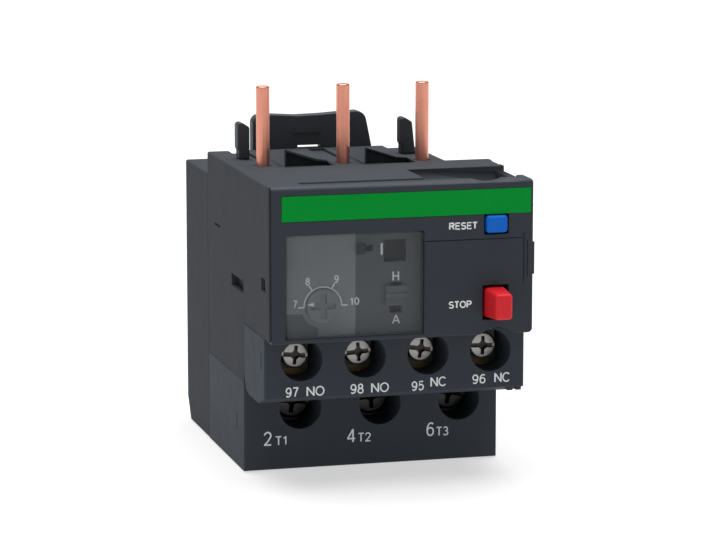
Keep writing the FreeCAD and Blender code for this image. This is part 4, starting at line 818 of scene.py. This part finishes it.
# %% Figures
FIGURES = {
    "0": (0.56, [bow(0.28, 0.5, 0.24, 0.48, 0, 360)]),
    "1": (0.42, [[(0.06, 0.76), (0.20, 0.82), (0.30, 0.98)], [(0.30, 1.0), (0.30, 0.0)]]),
    "2": (
        0.56,
        [
            bow(0.28, 0.72, 0.24, 0.26, 170, -25) + [(0.30, 0.30), (0.04, 0.02)],
            [(0.0, 0.02), (0.54, 0.02)],
        ],
    ),
    "3": (0.56, [bow(0.26, 0.75, 0.21, 0.23, 150, -90) + bow(0.26, 0.27, 0.25, 0.25, 90, -155)]),
    "4": (0.58, [[(0.42, 0.0), (0.42, 1.0)], [(0.42, 0.98), (0.02, 0.27)], [(0.0, 0.27), (0.58, 0.27)]]),
    "5": (0.56, [[(0.50, 0.97), (0.13, 0.97), (0.07, 0.50)] + bow(0.27, 0.33, 0.25, 0.31, 128, -150)]),
    "6": (0.56, [bow(0.28, 0.32, 0.24, 0.30, 0, 360), bow(0.33, 0.42, 0.29, 0.56, 195, 55)]),
    "7": (0.56, [[(0.02, 0.97), (0.56, 0.97)], [(0.53, 0.97), (0.40, 0.70), (0.28, 0.38), (0.20, 0.0)]]),
    "8": (0.56, [bow(0.28, 0.75, 0.20, 0.23, -90, 270), bow(0.28, 0.26, 0.25, 0.26, 90, 450)]),
    "9": (0.56, [bow(0.28, 0.67, 0.24, 0.30, 0, 360), bow(0.23, 0.57, 0.29, 0.56, 15, -125)]),
}
print("figures drawn:", "".join(FIGURES))

# %% Letters
LETTERS = {
    "A": (0.70, [[(0.0, 0.0), (0.35, 1.0)], [(0.35, 1.0), (0.70, 0.0)], [(0.13, 0.34), (0.57, 0.34)]]),
    "C": (0.72, [bow(0.38, 0.5, 0.37, 0.48, 42, 318)]),
    "E": (0.58, [[(0.56, 0.98), (0.04, 0.98), (0.04, 0.02), (0.58, 0.02)], [(0.04, 0.52), (0.52, 0.52)]]),
    "H": (0.66, [[(0.03, 0.0), (0.03, 1.0)], [(0.63, 0.0), (0.63, 1.0)], [(0.03, 0.52), (0.63, 0.52)]]),
    "N": (0.68, [[(0.03, 0.0), (0.03, 1.0)], [(0.03, 0.98), (0.65, 0.02)], [(0.65, 0.0), (0.65, 1.0)]]),
    "O": (0.78, [bow(0.39, 0.5, 0.37, 0.48, 0, 360)]),
    "P": (
        0.60,
        [[(0.04, 0.0), (0.04, 0.98), (0.34, 0.98)] + bow(0.34, 0.73, 0.24, 0.25, 90, -90) + [(0.04, 0.48)]],
    ),
    "R": (
        0.64,
        [
            [(0.04, 0.0), (0.04, 0.98), (0.36, 0.98)] + bow(0.36, 0.75, 0.23, 0.23, 90, -90) + [(0.04, 0.52)],
            [(0.36, 0.52), (0.62, 0.0)],
        ],
    ),
    "S": (0.62, [bow(0.31, 0.75, 0.25, 0.23, 25, 270) + bow(0.31, 0.26, 0.28, 0.25, 90, -155)]),
    "T": (0.58, [[(0.0, 0.98), (0.58, 0.98)], [(0.29, 0.98), (0.29, 0.0)]]),
    " ": (0.32, []),
}
GLYPHS = {**FIGURES, **LETTERS}
print("letters drawn:", "".join(LETTERS).strip())

# %% The pen
INK_THICK = 0.03
LETTER_GAP = 0.16


def inked(name, strokes, pen, face, body, finish):
    """Draws strokes, in drawing millimetres, as a flat print on the plane at this depth."""
    line = bpy.data.curves.new(name, "CURVE")
    line.dimensions = "3D"
    line.bevel_depth = pen / 2 * MM
    line.bevel_resolution = 1
    line.use_fill_caps = True
    for stroke in strokes:
        closed = stroke[0] == stroke[-1] or math.dist(stroke[0], stroke[-1]) < 1e-6
        points = stroke[:-1] if closed else stroke
        spline = line.splines.new("POLY")
        spline.points.add(len(points) - 1)
        spline.use_cyclic_u = closed
        for point, (x, z) in zip(spline.points, points):
            point.co = (x * MM, 0, z * MM, 1)
    piece = bpy.data.objects.new(name, line)
    bpy.context.scene.collection.objects.link(piece)
    only(piece)
    bpy.ops.object.convert(target="MESH")
    piece = bpy.context.active_object
    piece.scale = (1, INK_THICK / pen, 1)
    piece.location = place(0, face, 0)
    settle(piece, body, finish)


# %% A printed word
def printed(name, words, left, right, low, high, face, pen_share=0.15):
    """Prints a word so that it fills the box from left to right and from low to high."""
    width = sum(GLYPHS[letter][0] + LETTER_GAP for letter in words) - LETTER_GAP
    pen = (high - low) * pen_share
    across = (right - left - pen) / width
    up = high - low - pen
    edge, foot = left + pen / 2, low + pen / 2
    strokes = []
    start = 0.0
    for letter in words:
        advance, pen_lines = GLYPHS[letter]
        for pen_line in pen_lines:
            strokes.append([(edge + (start + x) * across, foot + z * up) for x, z in pen_line])
        start += advance + LETTER_GAP
    inked(name, strokes, pen, face, "case", print_white)


# %% Words on the mouldings
FRONT, AUX_FACE, POWER_FACE, PLATE = 0.0, 3.7, 18.8, 2.2
BOLD = 0.20
INDEX_X, INDEX_LOW, INDEX_HIGH = -2.86, 39.35, 41.25
WORDS = [
    ("reset_word", "RESET", 8.0, 13.05, 43.3, 44.6, FRONT, BOLD),
    ("stop_word", "STOP", 8.0, 12.1, 30.1, 31.4, FRONT, BOLD),
    ("mark_97", "97", -19.0, -16.6, 15.75, 17.55, AUX_FACE),
    ("mark_97_no", "NO", -15.4, -12.2, 15.75, 17.55, AUX_FACE),
    ("mark_98", "98", -7.9, -5.45, 15.75, 17.55, AUX_FACE),
    ("mark_98_no", "NO", -4.3, -1.1, 15.75, 17.55, AUX_FACE),
    ("mark_95", "95", 2.7, 5.0, 15.7, 17.45, AUX_FACE),
    ("mark_95_nc", "NC", 6.0, 8.9, 16.2, 18.0, AUX_FACE),
    ("mark_96", "96", 13.3, 15.8, 16.3, 18.05, AUX_FACE),
    ("mark_96_nc", "NC", 17.2, 20.1, 16.35, 18.15, AUX_FACE),
    ("mark_2", "2", -19.2, -17.6, 4.2, 6.8, POWER_FACE, 0.12),
    ("mark_t1", "T1", -17.1, -14.9, 4.2, 5.9, POWER_FACE, 0.14),
    ("mark_4", "4", -4.5, -2.8, 3.9, 6.5, POWER_FACE, 0.12),
    ("mark_t2", "T2", -2.5, -0.1, 3.95, 5.65, POWER_FACE, 0.14),
    ("mark_6", "6", 9.7, 11.3, 4.2, 6.8, POWER_FACE, 0.12),
    ("mark_t3", "T3", 11.5, 13.85, 4.2, 5.9, POWER_FACE, 0.14),
    ("mode_h", "H", -1.05, 0.2, 34.8, 36.55, PLATE),
    ("mode_a", "A", -1.10, 0.35, 27.55, 29.25, PLATE),
]
for word in WORDS:
    printed(*word)
print("printed words:", len(WORDS))

# %% [markdown]
# ## The dial's scale
# Half a circle runs round the top of the dial, with a short tick at each of its four numbers. The scale
# is printed on the plate and stays put, while the small pointer is printed on the dial and turns with it.
# Both are laid out from the dial's own centre.

# %% Arc, ticks and numbers
SCALE_RADIUS = 3.2
SCALE_PEN = 0.27
TICK = 1.0
NUMBER_HIGH = 1.4
NUMBER_PEN = 0.18


def from_dial(points):
    return [(DIAL_X + x, DIAL_Z + z) for x, z in points]


def spoke(angle, inner, outer):
    turn = math.radians(angle)
    return [(radius * math.cos(turn), radius * math.sin(turn)) for radius in (inner, outer)]


arc = bow(0, 0, SCALE_RADIUS, SCALE_RADIUS, 182, 0)
scale_lines = [
    arc,
    [arc[0], (arc[0][0] - TICK, arc[0][1])],
    [arc[-1], (arc[-1][0] + TICK, arc[-1][1])],
    spoke(124, SCALE_RADIUS, SCALE_RADIUS + TICK),
    spoke(62, SCALE_RADIUS, SCALE_RADIUS + TICK),
]
inked("dial_scale", [from_dial(points) for points in scale_lines], SCALE_PEN, PLATE, "case", print_white)
NUMBERS = [("7", -4.71, 0.52, 0.9), ("8", -2.57, 4.20, 0.9), ("9", 2.31, 4.43, 0.9), ("10", 5.38, 0.56, 1.8)]
for words, x, z, wide in NUMBERS:
    left, low = DIAL_X + x - wide / 2, DIAL_Z + z - NUMBER_HIGH / 2
    printed(f"dial_{words}", words, left, left + wide, low, low + NUMBER_HIGH, PLATE, NUMBER_PEN)
print("numbers on the scale:", len(NUMBERS))

# %% Pointer and index bar
POINTER = [[(-2.75, 0.42), (-1.72, 0.70), (-1.72, 0.14), (-2.75, 0.42)], [(-2.4, 0.42), (-1.8, 0.42)]]
INDEX_BAR = [[(INDEX_X, INDEX_LOW), (INDEX_X, INDEX_HIGH)]]
POINTER_PEN, INDEX_PEN = 0.22, 0.36
pointer_lines = [from_dial(points) for points in POINTER]
inked("dial_pointer", pointer_lines, POINTER_PEN, DIAL_FACE, "dial", print_white)
inked("index_bar", INDEX_BAR, INDEX_PEN, PLATE, "case", print_white)

# %% [markdown]
# ## Camera
# The photograph looks at the relay from its left and a little above, with a long lens, so edges stay
# nearly parallel.

# %% The photograph's viewpoint
CAMERA_PLACE = (-0.14196, -0.52892, 0.12598)
CAMERA_TILT = 80.266
CAMERA_TURN = -15.056
LENS = 160.5
SENSOR = 36
bpy.ops.object.select_all(action="DESELECT")
bpy.ops.object.camera_add(
    location=CAMERA_PLACE,
    rotation=(math.radians(CAMERA_TILT), 0, math.radians(CAMERA_TURN)),
)
camera = bpy.context.active_object
camera.name = "photo_camera"
camera.data.lens = LENS
camera.data.sensor_width = SENSOR
bpy.context.scene.camera = camera
print("camera at", tuple(round(part, 3) for part in camera.location))

# %% [markdown]
# ## Floor and light
# The relay stands on a plain pale table that glows a little, like a light box, in soft studio light. A
# wide, even light falls from the ceiling and makes the deck the brightest face, a low sky fills the
# shadows, and two weak lamps lift the side and the front a little.

# %% Floor
FLOOR_SIDE = 6.0
FLOOR_GAP = 0.0002
FLOOR_GLOW = 0.57
FLOOR_SHADES = ((0.30, 0.30, 0.30), (0.33, 0.33, 0.33))
bpy.ops.object.select_all(action="DESELECT")
bpy.ops.mesh.primitive_plane_add(size=FLOOR_SIDE, location=(0, 0, -FLOOR_GAP))
floor = bpy.context.active_object
floor.name = "floor"
floor_paint = Paint("floor_pale")
floor_cloud = floor_paint.noise(300.0, 2.0)
floor.data.materials.append(
    floor_paint.finish(
        Base_Color=floor_paint.blend(floor_cloud, *FLOOR_SHADES),
        Roughness=0.9,
        Specular_IOR_Level=0.1,
        Emission_Color=(1.0, 1.0, 1.0),
        Emission_Strength=FLOOR_GLOW,
    )
)

# %% Sun, lamp and sky
SUN_STRENGTH = 5.4
SUN_TILT = (-6, 0, 0)
SUN_WIDTH = 60
SIDE_LAMP = ((-0.55, -0.20, 0.25), 0.35, 0.06)
FRONT_LAMP = ((0.30, -0.70, 0.20), 0.40, 0.08)
SKY = 0.34
AIM = Vector((0, 0, 0.03))


def soft_lamp(name, spot, size, power):
    bpy.ops.object.light_add(type="AREA", location=spot)
    lamp = bpy.context.active_object
    lamp.name = name
    lamp.data.size = size
    lamp.data.energy = power
    aim = AIM - Vector(spot)
    lamp.rotation_euler = aim.to_track_quat("-Z", "Y").to_euler()


tilt = [math.radians(turn) for turn in SUN_TILT]
bpy.ops.object.light_add(type="SUN", location=(0, 0, 1), rotation=tilt)
sun = bpy.context.active_object
sun.name = "ceiling_light"
sun.data.energy = SUN_STRENGTH
sun.data.angle = math.radians(SUN_WIDTH)
soft_lamp("side_lamp", *SIDE_LAMP)
soft_lamp("front_lamp", *FRONT_LAMP)

world = bpy.data.worlds.new("studio")
world.use_nodes = True
sky = world.node_tree.nodes["Background"]
sky.inputs["Color"].default_value = (1.0, 1.0, 1.0, 1.0)
sky.inputs["Strength"].default_value = SKY
bpy.context.scene.world = world
bpy.context.scene.view_settings.view_transform = "Standard"
print("lights:", sun.name, "side_lamp and front_lamp, sky strength", SKY)
